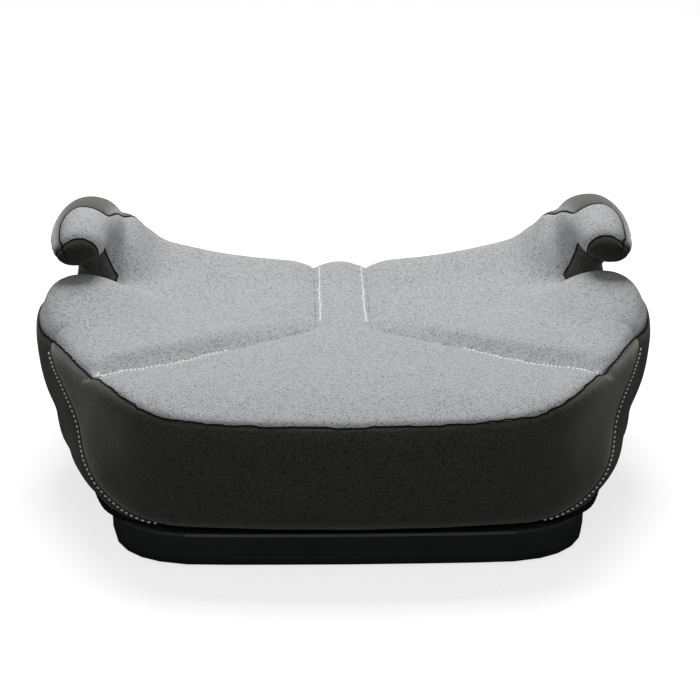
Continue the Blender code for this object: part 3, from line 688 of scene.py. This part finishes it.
class Pattern:
    """Cuts the form along seams and hands out the panels between them."""

    def __init__(self, points: np.ndarray, tris: np.ndarray, normals: np.ndarray) -> None:
        """Keep the form.

        Args:
            points: vertices in metres.
            tris: triangles.
            normals: vertex normals.
        """
        self.points = [tuple(p) for p in points]
        self.normals = [tuple(n) for n in normals]
        self.tris = [tuple(int(i) for i in t) for t in tris]
        self.barriers: set[tuple[int, int]] = set()
        self.tree = BVHTree.FromPolygons([Vector(p) for p in self.points], self.tris)
        self.lines: dict[str, np.ndarray] = {}
        self.seams: dict[str, Seam] = {}

    def refine(self, samples: np.ndarray, reach: float) -> None:
        """Halve every edge of the triangles close to a seam.

        Args:
            samples: points of all seams.
            reach: distance from a seam within which triangles are split.
        """
        finder = KDTree(len(samples))
        for i, p in enumerate(samples):
            finder.insert(Vector(p), i)
        finder.balance()
        close = [finder.find(Vector(p))[2] < reach for p in self.points]
        middle: dict[tuple[int, int], int] = {}
        for tri in self.tris:
            if close[tri[0]] or close[tri[1]] or close[tri[2]]:
                for k in range(3):
                    a, b = tri[k], tri[(k + 1) % 3]
                    key = (min(a, b), max(a, b))
                    if key not in middle:
                        normal = np.array(self.normals[a]) + np.array(self.normals[b])
                        normal /= np.linalg.norm(normal)
                        point = (np.array(self.points[a]) + np.array(self.points[b])) / 2
                        middle[key] = len(self.points)
                        self.points.append(tuple(point))
                        self.normals.append(tuple(normal))
        fresh = []
        for tri in self.tris:
            mids = [middle.get(tuple(sorted((tri[k], tri[(k + 1) % 3])))) for k in range(3)]
            hits = [k for k in range(3) if mids[k] is not None]
            if not hits:
                fresh.append(tri)
            elif len(hits) == 3:
                a, b, c = tri
                m, n, o = mids
                fresh += [(a, m, o), (m, b, n), (o, n, c), (m, n, o)]
            elif len(hits) == 1:
                k = hits[0]
                a, b, c = tri[k], tri[(k + 1) % 3], tri[(k + 2) % 3]
                fresh += [(a, mids[k], c), (mids[k], b, c)]
            else:
                k = next(i for i in range(3) if mids[i] is None)
                a, b, c = tri[k], tri[(k + 1) % 3], tri[(k + 2) % 3]
                m, n = mids[(k + 1) % 3], mids[(k + 2) % 3]
                fresh += [(a, b, m), (a, m, n), (n, m, c)]
        self.tris = fresh

    def lay(self, seam: Seam, band: float = 0.0065) -> None:
        """Cut the triangles under a seam and fence its line.

        Args:
            seam: seam to lay.
            band: reach on both sides of the line that is looked at.
        """
        line = seam.ready
        LOG.info("seam %s: %d points", seam.name, len(line))
        self.lines[seam.name] = line
        self.seams[seam.name] = seam
        size = len(line)
        if seam.closed:
            along = np.roll(line, -1, axis=0) - np.roll(line, 1, axis=0)
        else:
            along = np.gradient(line, axis=0)
        along /= np.maximum(np.linalg.norm(along, axis=1), 1e-12)[:, None]
        finder = KDTree(size)
        for i, p in enumerate(line):
            finder.insert(Vector(p), i)
        finder.balance()
        low, high = line.min(axis=0) - band, line.max(axis=0) + band
        pts = np.array(self.points)
        inside = np.where(np.all((pts > low) & (pts < high), axis=1))[0]
        value: dict[int, float] = {}
        for v in inside:
            co, index, distance = finder.find(Vector(self.points[v]))
            if distance > band or (not seam.closed and index in (0, size - 1)):
                continue
            across = np.cross(along[index], self.normals[v])
            length = np.linalg.norm(across)
            if length < STEEPEST:
                continue
            side = float(np.dot(across / length, pts[v] - line[index]))
            value[int(v)] = side if abs(side) > ON_LINE else ON_LINE
        self._split(value)

    def _split(self, value: dict[int, float]) -> None:
        """Split every triangle that the zero line of the values crosses.

        Args:
            value: signed distance for the vertices near the line.
        """
        middle: dict[tuple[int, int], int] = {}

        def crossing(a: int, b: int) -> int | None:
            """Vertex where the line crosses an edge, made on first use."""
            if a not in value or b not in value or (value[a] > 0) == (value[b] > 0):
                return None
            if abs(value[a]) + abs(value[b]) > WIDEST_EDGE:
                return None
            key = (min(a, b), max(a, b))
            if key not in middle:
                t = value[a] / (value[a] - value[b])
                pa, pb = np.array(self.points[a]), np.array(self.points[b])
                na, nb = np.array(self.normals[a]), np.array(self.normals[b])
                normal = na + (nb - na) * t
                made = len(self.points)
                middle[key] = made
                self.points.append(tuple(pa + (pb - pa) * t))
                self.normals.append(tuple(normal / np.linalg.norm(normal)))
                if key in self.barriers:
                    self.barriers.update({(key[0], made), (key[1], made)})
            return middle[key]

        fresh = []
        for tri in self.tris:
            if not (tri[0] in value or tri[1] in value or tri[2] in value):
                fresh.append(tri)
                continue
            cuts = [crossing(tri[k], tri[(k + 1) % 3]) for k in range(3)]
            hits = [k for k in range(3) if cuts[k] is not None]
            if not hits:
                fresh.append(tri)
            elif len(hits) == 1:
                k = hits[0]
                a, b, c = tri[k], tri[(k + 1) % 3], tri[(k + 2) % 3]
                m = cuts[k]
                fresh += [(a, m, c), (m, b, c)]
            else:
                k = next(i for i in range(3) if cuts[i] is None)
                a, b, c = tri[k], tri[(k + 1) % 3], tri[(k + 2) % 3]
                m, n = cuts[(k + 1) % 3], cuts[(k + 2) % 3]
                fresh += [(a, b, m), (a, m, n), (n, m, c)]
                self.barriers.add((min(m, n), max(m, n)))
        self.tris = fresh

    def islands(self) -> list[list[int]]:
        """Groups of triangles that no seam separates.

        Returns:
            Triangle numbers of each island, largest first.
        """
        owners: dict[tuple[int, int], list[int]] = {}
        for t, tri in enumerate(self.tris):
            for k in range(3):
                a, b = tri[k], tri[(k + 1) % 3]
                owners.setdefault((min(a, b), max(a, b)), []).append(t)
        near: list[list[int]] = [[] for _ in self.tris]
        for edge, pair in owners.items():
            if edge in self.barriers or len(pair) != 2:
                continue
            near[pair[0]].append(pair[1])
            near[pair[1]].append(pair[0])
        seen = [False] * len(self.tris)
        groups = []
        for start in range(len(self.tris)):
            if seen[start]:
                continue
            seen[start] = True
            group, stack = [], [start]
            while stack:
                t = stack.pop()
                group.append(t)
                for other in near[t]:
                    if not seen[other]:
                        seen[other] = True
                        stack.append(other)
            groups.append(group)
        return sorted(groups, key=len, reverse=True)


# ---------------------------------------------------------------- the sewing plan


@dataclass
class SewingPlan:
    """Where the sewn lines run. Right-hand lines are drawn; left-hand ones are their mirror images."""

    neck: list[Point] = field(default_factory=lambda: [
        (187, 48, 154), (178, 56, 151), (175, 66, 149.5), (172, 80, 147.5), (169, 94, 145),
        (167, 102, 140), (166.5, 105, 132), (168, 106, 123), (173, 105, 117), (182, 103, 114),
        (193, 99, 113), (203, 92, 115)])
    rim: list[Point] = field(default_factory=lambda: [
        (212.5, 80, 119), (217, 66, 123), (219.5, 50, 125), (220, 36, 122), (218.5, 22, 117), (210, -4, 113),
        (199, -32, 113.2), (185.5, -76, 115), (169, -112, 116), (152, -147, 114.5), (138.5, -165, 112),
        (123, -177, 109), (98, -184.5, 108.2), (66, -188.8, 107.5), (30, -190.5, 106.8)])
    rim_middle: Point = (0, -190.8, 106.6)
    tongue: list[Point] = field(default_factory=lambda: [
        (203, 43, 161), (208, 47, 168), (210.5, 58, 170), (212, 73, 171.5), (212, 88, 172.5),
        (210, 101, 173.5), (205.5, 111, 175.5), (199, 116, 177), (192, 115.5, 177.5), (184.5, 110, 177),
        (175.5, 104, 174)])
    ridge: list[Point] = field(default_factory=lambda: [
        (171, 112, 173), (168.5, 125, 171), (165.5, 142, 167.5), (162.5, 157, 163), (159.5, 168, 158.5),
        (155.5, 176, 153), (150, 181, 147), (142, 184.5, 140), (134, 186.5, 134.5), (121, 187.8, 130),
        (99, 188.5, 125.5), (70, 189, 120), (25, 189.5, 115)])
    ridge_middle: Point = (0, 189.5, 114.5)
    tip: list[Point] = field(default_factory=lambda: [
        (208.5, 47.5, 167.5), (199, 48.5, 170.5), (190, 49.5, 172.5), (185, 49.5, 169.5),
        (180.5, 50.5, 163), (176, 53, 156.5), (178.5, 57, 150.5), (188, 58, 147.5), (199, 58, 147),
        (208, 56, 151), (212.5, 52, 159), (211.5, 49, 164.5)])
    strip: list[Point] = field(default_factory=lambda: [
        (20, 199, 112), (20, 188, 112), (19.8, 160, 112), (19.8, 110, 112), (20, 60, 112),
        (20.2, 46, 112), (21.5, 37.5, 112), (27, 29.5, 112), (41.5, 16.5, 112), (67.7, -7, 112),
        (100.5, -36, 112), (130, -66, 112), (157, -88, 112), (173, -103, 112), (181, -110, 112)])
    side: list[Point] = field(default_factory=lambda: [
        (197, -12, 116), (206, -18, 111), (212, -30, 104), (211, -50, 96), (203, -76, 84), (194, -96, 70),
        (181, -116, 56), (168, -130, 46), (157, -143, 38), (143, -155, 34), (131, -160, 30),
        (126, -157, 27), (122, -151, 28.5), (117, -142, 28.5)])
    back: list[Point] = field(default_factory=lambda: [
        (177, 190, 130), (178, 190, 117), (178, 189, 104), (176, 189.5, 80), (172, 188, 55), (167, 186, 40),
        (162, 182, 31), (158, 176, 26.5), (155, 170, 27), (152, 165, 28.5), (147, 157, 28.5)])
    root: list[Point] = field(default_factory=lambda: [
        (174, 92, 117), (179, 99, 115), (186, 103, 113), (193, 109, 112), (194.5, 122, 112),
        (195, 138, 111.5), (194.5, 152, 110), (191, 168, 108), (186, 180, 108), (179, 188, 115),
        (170, 190.5, 126), (161, 189.5, 138), (155, 185, 147), (151, 178, 150), (147, 169, 148)])

    def seams(self, body: BodyForm) -> list[Seam]:
        """Every seam of the cover, in the order of cutting.

        Args:
            body: form whose hem curve the lower edge follows.

        Returns:
            The seams.
        """
        half_rim = self.neck + self.rim
        rim = np.vstack([half_rim, [self.rim_middle], flipped(half_rim)[::-1]])
        half_rear = self.tongue + self.ridge
        rear = np.vstack([half_rear, [self.ridge_middle], flipped(half_rear)[::-1]])
        hem = mirrored([(x * 1.004, y * 1.004, body.base - 0.4) for x, y in body.hem])
        made = [Seam("rim", rim, depth=0.0013, width=0.0030, sink=0.0009, spread=0.009),
                Seam("rear", rear, depth=0.0012, width=0.0028, sink=0.0008, spread=0.008),
                Seam("hem", hem, closed=True, depth=0.0, width=0.002, sink=0.0, spread=0.01)]
        for side, turn in (("right", np.array), ("left", flipped)):
            made += [Seam(f"tip_{side}", turn(self.tip), closed=True, depth=0.0011, width=0.0026,
                          sink=0.0006, spread=0.006),
                     Seam(f"strip_{side}", turn(self.strip), depth=0.0024, width=0.0024, sink=0.0040,
                          spread=0.0110, pucker=0.0006, fade=0.010),
                     Seam(f"side_{side}", turn(self.side), depth=0.0008, width=0.0022, sink=0.0006,
                          spread=0.006),
                     Seam(f"back_{side}", turn(self.back), depth=0.0008, width=0.0022, sink=0.0006,
                          spread=0.006),
                     Seam(f"root_{side}", turn(self.root), depth=0.0009, width=0.0024, sink=0.0008,
                          spread=0.008)]
        return made


@dataclass(frozen=True)
class Panel:
    """One cut panel of the cover."""

    name: str
    seed: Point
    slot: Slot
    finish: Finish
    nodes: tuple[str, ...]
    thickness: float = 0.0018
    fill: float = 0.75


def sided(name: str, sign: int, seed: Point, slot: Slot, finish: Finish, nodes: tuple[str, ...],
          **more: float) -> Panel:
    """Panel on one side of the seat.

    Args:
        name: name without its side.
        sign: 1 for the right-hand side (+X), -1 for the left.
        seed: point of the right-hand panel.
        slot: material slot.
        finish: finish of the panel.
        nodes: replaced nodes without their side.
        more: further panel values.

    Returns:
        The panel.
    """
    side = "right" if sign > 0 else "left"
    return Panel(f"{name}_{side}", (seed[0] * sign, seed[1], seed[2]), slot, finish,
                 tuple(f"{n}_{side}" for n in nodes), **more)


@dataclass
class Cover:
    """The sewn cover: blended form, seams, panels, piping and thread."""

    form: BaseForm = field(default_factory=BaseForm)
    plan: SewingPlan = field(default_factory=SewingPlan)
    near_seam: float = 0.0065
    reach: float = 0.030

    def panels(self) -> list[Panel]:
        """The panels of the cover."""
        made = [
            Panel("visual_top_centre", (0, -90, 115), Slot.LIGHT, LIGHT_CLOTH,
                  ("cover_top_centre", "seat_foam"), 0.003),
            Panel("visual_front", (0, -190, 70), Slot.DARK, DARK_CLOTH, ("cover_front",)),
            Panel("visual_back", (0, 188, 70), Slot.DARK, DARK_CLOTH, ("cover_back",))]
        for sign in (1, -1):
            made += [
                sided("visual_top", sign, (110, 30, 115), Slot.LIGHT, LIGHT_CLOTH,
                      ("cover_top", "armrest_lining"), thickness=0.0022),
                # The side and cap panels take painted-shade copies of the dark cloth. The armrest takes a
                # painted-light copy.
                sided("visual_side", sign, (214, 20, 70), Slot.DARK, SHADED_SIDE_CLOTH, ("cover_side",)),
                sided("visual_armrest", sign, (195, 150, 179), Slot.DARK, LIT_ARM_CLOTH,
                      ("armrest_cover", "armrest_foam")),
                sided("visual_armrest_tip", sign, (195, 43, 160), Slot.DARK, SHADED_CAP_CLOTH, ("armrest_tip",))]
        return made

    def build(self) -> Pattern:
        """Blend the form, cut it and make every sewn piece.

        Returns:
            The cut pattern.
        """
        points, tris, normals = self.form.build()
        LOG.info("form: %d points, %d triangles", len(points), len(tris))
        pattern = Pattern(points, tris, normals)
        seams = self.plan.seams(self.form.body)
        for seam in seams:
            seam.ready = seam.laid(pattern.tree)
        pattern.refine(np.vstack([seam.ready for seam in seams]), self.near_seam)
        for seam in seams:
            pattern.lay(seam)
        islands = pattern.islands()
        LOG.info("panels cut: %d", len(islands))
        shaped = self.shape(pattern)
        owner = {t: k for k, group in enumerate(islands) for t in group}
        middles = KDTree(len(pattern.tris))
        for t, tri in enumerate(pattern.tris):
            a, b, c = (pattern.points[v] for v in tri)
            middles.insert(Vector([(a[k] + b[k] + c[k]) / 3 for k in range(3)]), t)
        middles.balance()
        used: dict[int, str] = {}
        for panel in self.panels():
            _, t, _ = middles.find(Vector(panel.seed) * MM)
            island = owner[t]
            if island in used:
                raise RuntimeError(f"{panel.name} and {used[island]} lie in one panel: a seam has a gap")
            used[island] = panel.name
            self.sew(panel, pattern, islands[island], shaped)
        return pattern

    def shape(self, pattern: Pattern) -> np.ndarray:
        """Roll the cloth into its seams and give it the life of stretched cloth.

        Args:
            pattern: the cut pattern.

        Returns:
            Moved vertex positions.
        """
        pts = np.array(pattern.points)
        normals = np.array(pattern.normals)
        rows, owners = [], []
        order = list(pattern.seams.values())
        for k, seam in enumerate(order):
            rows.append(pattern.lines[seam.name])
            owners += [k] * len(pattern.lines[seam.name])
        run = np.concatenate([np.arange(len(row)) * SAMPLE for row in rows])
        hold = np.concatenate([seam.hold(len(row)) for row, seam in zip(rows, order)])
        samples = np.vstack(rows)
        finder = KDTree(len(samples))
        for i, p in enumerate(samples):
            finder.insert(Vector(p), i)
        finder.balance()
        push = np.zeros(len(pts))
        for v, p in enumerate(pts):
            near: dict[int, tuple[float, int]] = {}
            for _, i, d in finder.find_range(Vector(p), self.reach):
                k = owners[i]
                if k not in near or d < near[k][0]:
                    near[k] = (d, i)
            for k, (d, i) in near.items():
                seam = order[k]
                groove = seam.depth * math.exp(-(d / seam.width) ** 1.3)
                valley = seam.sink * math.exp(-(d / seam.spread) ** 2)
                ripple = seam.pucker * math.sin(run[i] * 430) * math.sin(run[i] * 171 + k)
                push[v] -= hold[i] * (max(groove, 0) + valley + ripple * math.exp(-(d / 0.011) ** 2))
        x, y, z = pts.T / MM
        wave = (np.sin(x * 0.061 + y * 0.043) * np.sin(y * 0.052 - z * 0.071 + 1.3)
                + 0.6 * np.sin(x * 0.113 - y * 0.087 + 2.1) * np.sin(z * 0.13 + 0.4))
        push += 0.00028 * wave
        return pts + normals * push[:, None]

    def sew(self, panel: Panel, pattern: Pattern, group: list[int], shaped: np.ndarray) -> bpy.types.Object:
        """Make the object of one panel.

        Args:
            panel: panel to make.
            pattern: the cut pattern.
            group: its triangles.
            shaped: moved vertex positions of the whole pattern.

        Returns:
            The finished piece.
        """
        tris = np.array([pattern.tris[t] for t in group])
        keep, faces = np.unique(tris, return_inverse=True)
        piece = mesh_object(panel.name, shaped[keep], faces.reshape(-1, 3))
        select_only(piece)
        wall = piece.modifiers.new("cloth", "SOLIDIFY")
        wall.thickness = panel.thickness
        wall.offset = -1.0
        wall.use_rim = True
        bpy.ops.object.modifier_apply(modifier="cloth")
        piece.data.materials.append(panel.finish.build())
        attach(piece, "root")
        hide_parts(*panel.nodes)
        LOG.info("%s: %d faces, replaces %s", panel.name, len(piece.data.polygons), ", ".join(panel.nodes))
        return piece


# ---------------------------------------------------------------- trims


@dataclass
class Trims:
    """Black piping sunk in the seams and white stitches beside them."""

    pattern: Pattern
    tree: BVHTree
    piping: float = 0.00055
    stitch: float = 0.0024
    gap: float = 0.0014
    thread: float = 0.00052
    lift: float = 0.00035

    def surface(self, points: np.ndarray, lift: float) -> tuple[np.ndarray, np.ndarray]:
        """Pull points onto the sewn cover.

        Args:
            points: points near the cover.
            lift: height above it.

        Returns:
            The points and the surface normals there.
        """
        rows, ups = [], []
        for p in points:
            place, normal, _, _ = self.tree.find_nearest(Vector(p))
            rows.append(np.array(place[:]) + np.array(normal[:]) * lift)
            ups.append(normal[:])
        return np.array(rows), np.array(ups)

    def tube(self, path: np.ndarray, radius: float, sides: int,
             closed: bool = False) -> tuple[np.ndarray, list]:
        """Round tube along a path.

        Args:
            path: points of the path.
            radius: radius of the tube.
            sides: sides of its section.
            closed: joins the ends.

        Returns:
            Vertices and faces.
        """
        if closed:
            along = np.roll(path, -1, axis=0) - np.roll(path, 1, axis=0)
        else:
            along = np.gradient(path, axis=0)
        along /= np.maximum(np.linalg.norm(along, axis=1), 1e-12)[:, None]
        up = np.tile(np.array([0.31, 0.22, 0.92]), (len(path), 1))
        across = np.cross(along, up)
        across /= np.maximum(np.linalg.norm(across, axis=1), 1e-9)[:, None]
        up = np.cross(across, along)
        angle = np.linspace(0, 2 * math.pi, sides, endpoint=False)
        ring = (np.cos(angle)[None, :, None] * across[:, None] + np.sin(angle)[None, :, None] * up[:, None])
        size = np.full(len(path), radius)
        if not closed:
            size[0] = size[-1] = radius * 0.45
        rings = path[:, None] + ring * size[:, None, None]
        if closed:
            verts, faces = rings.reshape(-1, 3), []
            for k in range(len(path)):
                n = (k + 1) % len(path)
                for i in range(sides):
                    j = (i + 1) % sides
                    faces.append((k * sides + i, k * sides + j, n * sides + j, n * sides + i))
            return verts, faces
        return loft(rings)

    def make(self, name: str, parts: list[tuple[np.ndarray, list]], finish: Finish) -> bpy.types.Object:
        """Join parts into one piece.

        Args:
            name: name of the piece.
            parts: vertices and faces of the parts.
            finish: finish of the piece.

        Returns:
            The piece.
        """
        verts, faces, shift = [], [], 0
        for points, polygons in parts:
            verts.append(points)
            faces += [tuple(i + shift for i in f) for f in polygons]
            shift += len(points)
        piece = mesh_object(name, np.vstack(verts), faces)
        bm = bmesh.new()
        bm.from_mesh(piece.data)
        bmesh.ops.recalc_face_normals(bm, faces=bm.faces)
        bm.to_mesh(piece.data)
        bm.free()
        piece.data.materials.append(finish.build())
        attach(piece, "root")
        LOG.info("%s: %d faces", name, len(piece.data.polygons))
        return piece

    def cord(self, name: str, seam: str) -> None:
        """Piping in one seam.

        Args:
            name: name of the piece.
            seam: name of the seam.
        """
        line = self.pattern.lines[seam]
        closed = self.pattern.seams[seam].closed
        rows, _ = self.surface(line, 0.00012)
        for _ in range(3):
            if closed:
                rows = (np.roll(rows, 1, axis=0) + 2 * rows + np.roll(rows, -1, axis=0)) / 4
            else:
                rows[1:-1] = (rows[:-2] + 2 * rows[1:-1] + rows[2:]) / 4
        self.make(name, [self.tube(rows, self.piping, 8, closed)], BLACK_THREAD)

    def stitches(self, name: str, seam: str, offset: float, start: float, end: float, finish: Finish,
                 stitch: float | None = None, gap: float | None = None) -> None:
        """Row of stitches beside one seam.

        Args:
            name: name of the piece.
            seam: name of the seam.
            offset: distance from the seam, to its left when positive.
            start: share of the seam where the row starts.
            end: share where it ends.
            finish: finish of the thread.
            stitch: length of a stitch.
            gap: gap between stitches.
        """
        stitch, gap = stitch or self.stitch, gap or self.gap
        line = self.pattern.lines[seam]
        low, high = int(start * (len(line) - 1)), int(end * (len(line) - 1))
        line = line[low:high + 1]
        on, ups = self.surface(line, 0.0)
        along = np.gradient(line, axis=0)
        along /= np.linalg.norm(along, axis=1)[:, None]
        beside, _ = self.surface(line + np.cross(ups, along) * offset, 0.0)
        run = np.concatenate([[0], np.cumsum(np.linalg.norm(np.diff(beside, axis=0), axis=1))])
        parts = []
        place = 0.0005
        while place + stitch < run[-1]:
            at = np.linspace(place, place + stitch, 6)
            rows = np.column_stack([np.interp(at, run, beside[:, k]) for k in range(3)])
            rows, _ = self.surface(rows, 0.0)
            normals = self.surface(rows, 0.0)[1]
            dip = np.array([-0.9, 0.55, 1.0, 1.0, 0.55, -0.9]) * self.thread * 0.6
            rows = rows + normals * (dip + self.lift)[:, None]
            parts.append(self.tube(rows, self.thread, 6))
            place += stitch + gap
        self.make(name, parts, finish)


@dataclass
class HemBand:
    """Gathered elastic that draws the cover under the seat."""

    body: BodyForm
    around: int = 900
    height: float = 4.6
    depth: float = 2.8
    level: float = 27.0
    gathers: int = 170

    def build(self) -> bpy.types.Object:
        """Make the band.

        Returns:
            The piece.
        """
        line = through(mirrored(list(self.body.hem)), self.around, closed=True)
        along = np.roll(line, -1, axis=0) - np.roll(line, 1, axis=0)
        out = np.stack([along[:, 1], -along[:, 0]], axis=1)
        out /= np.linalg.norm(out, axis=1)[:, None]
        turn = np.arange(self.around) / self.around * 2 * math.pi
        fold = 0.5 + 0.5 * np.sin(turn * self.gathers + 0.8 * np.sin(turn * 13) + 0.6 * np.sin(turn * 29))
        angle = np.linspace(0, 2 * math.pi, 14, endpoint=False)
        c, s = np.cos(angle), np.sin(angle)
        rings = []
        for k in range(self.around):
            grow = 1 + 0.16 * fold[k]
            reach = c * self.depth / 2 * grow - 0.2
            rise = self.level + s * self.height / 2 * (1 + 0.05 * fold[k])
            flat = line[k][None] + out[k][None] * reach[:, None]
            rings.append(np.column_stack([flat, rise]))
        rings = np.array(rings) * MM
        verts, faces, sides = rings.reshape(-1, 3), [], len(angle)
        for k in range(self.around):
            n = (k + 1) % self.around
            for i in range(sides):
                j = (i + 1) % sides
                faces.append((k * sides + i, n * sides + i, n * sides + j, k * sides + j))
        piece = mesh_object("visual_hem", verts, faces)
        bm = bmesh.new()
        bm.from_mesh(piece.data)
        bmesh.ops.recalc_face_normals(bm, faces=bm.faces)
        bm.to_mesh(piece.data)
        bm.free()
        piece.data.materials.append(ELASTIC_TAPE.build())
        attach(piece, "root")
        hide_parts("hem_elastic")
        LOG.info("visual_hem: %d faces", len(piece.data.polygons))
        return piece


@dataclass
class Hardware:
    """Finishes of the rigid parts that stay as they were packed."""

    finishes: dict[str, Finish] = field(default_factory=lambda: {
        "base_tray": TRAY_FINISH, "seat_shell": SHELL_FINISH, "armrest_frame": SHELL_FINISH,
        "foot": RUBBER_FINISH, "tray_screw": STEEL_FINISH, "armrest_bolt": STEEL_FINISH})

    def dress(self, nodes: dict[str, bpy.types.Object]) -> None:
        """Give every rigid part its finish.

        Args:
            nodes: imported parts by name.
        """
        for name, node in nodes.items():
            for start, finish in self.finishes.items():
                if name.startswith(start):
                    for place in node.material_slots:
                        place.material = finish.build()
                    LOG.info("%s: %s", name, finish.name)


# ---------------------------------------------------------------- studio


@dataclass
class Studio:
    """White sweep, soft lights and the camera."""

    aim: Vector = field(default_factory=lambda: Vector((0.0039, 0.0073, 0.0978)))
    distance: float = 1.956
    azimuth: float = -1.4
    elevation: float = 17.0
    lens: float = 140.0

    def floor(self) -> None:
        """Plain white floor that keeps a soft contact shadow."""
        select_none()
        bpy.ops.mesh.primitive_plane_add(size=24.0, location=(0, 0, 0))
        floor = bpy.context.active_object
        floor.name = "studio_floor"
        made = bpy.data.materials.new("studio_white")
        made.use_nodes = True
        tree = made.node_tree
        tree.nodes.clear()
        link = tree.links.new
        out = tree.nodes.new("ShaderNodeOutputMaterial")
        matte = tree.nodes.new("ShaderNodeBsdfDiffuse")
        matte.inputs["Color"].default_value = (0.55, 0.55, 0.55, 1)
        glow = tree.nodes.new("ShaderNodeEmission")
        glow.inputs["Strength"].default_value = 0.76
        total = tree.nodes.new("ShaderNodeAddShader")
        dim = tree.nodes.new("ShaderNodeBsdfDiffuse")
        dim.inputs["Color"].default_value = (0.10, 0.10, 0.10, 1)
        ray = tree.nodes.new("ShaderNodeLightPath")
        mix = tree.nodes.new("ShaderNodeMixShader")
        link(matte.outputs[0], total.inputs[0])
        link(glow.outputs[0], total.inputs[1])
        link(ray.outputs["Is Camera Ray"], mix.inputs[0])
        link(dim.outputs[0], mix.inputs[1])
        link(total.outputs[0], mix.inputs[2])
        link(mix.outputs[0], out.inputs["Surface"])
        floor.data.materials.append(made)

    def light(self, name: str, place: Point, target: Point, size: float, power: float) -> None:
        """Square softbox.

        Args:
            name: name of the light.
            place: where it hangs.
            target: where it points.
            size: side in metres.
            power: watts.
        """
        data = bpy.data.lights.new(name, "AREA")
        data.shape = "SQUARE"
        data.size = size
        data.energy = power
        lamp = bpy.data.objects.new(name, data)
        lamp.location = place
        lamp.rotation_euler = (Vector(target) - Vector(place)).to_track_quat("-Z", "Y").to_euler()
        bpy.context.collection.objects.link(lamp)

    def camera(self) -> None:
        """Camera at the viewing angle."""
        turn, rise = math.radians(self.azimuth), math.radians(self.elevation)
        back = Vector((math.sin(turn) * math.cos(rise), -math.cos(turn) * math.cos(rise), math.sin(rise)))
        data = bpy.data.cameras.new("studio_camera")
        data.lens = self.lens
        data.sensor_width = 36.0
        camera = bpy.data.objects.new("studio_camera", data)
        camera.location = self.aim + back * self.distance
        camera.rotation_euler = (-back).to_track_quat("-Z", "Y").to_euler()
        bpy.context.collection.objects.link(camera)
        bpy.context.scene.camera = camera

    def build(self) -> None:
        """Set up the whole studio."""
        self.floor()
        world = bpy.data.worlds.new("studio_world")
        world.use_nodes = True
        shade = world.node_tree.nodes["Background"]
        shade.inputs["Color"].default_value = (1.0, 1.0, 1.0, 1.0)
        shade.inputs["Strength"].default_value = 0.12
        bpy.context.scene.world = world
        self.light("top_box", (0.0, 0.95, 1.8), (0, 0, 0.1), 1.1, 28.5)
        self.light("front_box", (-0.2, -2.2, 1.5), (0, 0, 0.1), 1.4, 7.5)
        bpy.context.scene.view_settings.view_transform = "Standard"
        self.camera()


def select_none() -> None:
    """Deselect everything."""
    bpy.ops.object.select_all(action="DESELECT")


def shown_tree() -> BVHTree:
    """Search tree of all sewn panels."""
    verts, faces = [], []
    for obj in bpy.data.objects:
        if obj.type == "MESH" and obj.name.startswith("visual_") and obj.name != "visual_hem":
            shift = len(verts)
            verts += [v.co[:] for v in obj.data.vertices]
            faces += [tuple(i + shift for i in p.vertices) for p in obj.data.polygons]
    return BVHTree.FromPolygons(verts, faces)


def main() -> None:
    """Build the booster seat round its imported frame."""
    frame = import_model()
    select_none()
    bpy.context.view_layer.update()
    Studio().build()
    Hardware().dress(frame["nodes"])
    cover = Cover()
    pattern = cover.build()
    HemBand(cover.form.body).build()
    trims = Trims(pattern, shown_tree())
    trims.cord("piping_rim", "rim")
    trims.cord("piping_rear", "rear")
    for side, sign in (("right", 1.0), ("left", -1.0)):
        trims.cord(f"piping_tip_{side}", f"tip_{side}")
        trims.stitches(f"thread_strip_{side}", f"strip_{side}", -0.0015 * sign, 0.055, 0.40, GLOWING_TOP_THREAD)
        trims.stitches(f"thread_thigh_{side}", f"strip_{side}", -0.0024 * sign, 0.66, 0.955, GLOWING_TOP_THREAD)
        trims.stitches(f"thread_side_{side}", f"side_{side}", 0.0022 * sign, 0.08, 0.96, WHITE_THREAD,
                       stitch=0.0020, gap=0.0024)


if __name__ == "__main__":
    logging.basicConfig(level=logging.INFO, format="%(name)s: %(message)s")
    main()
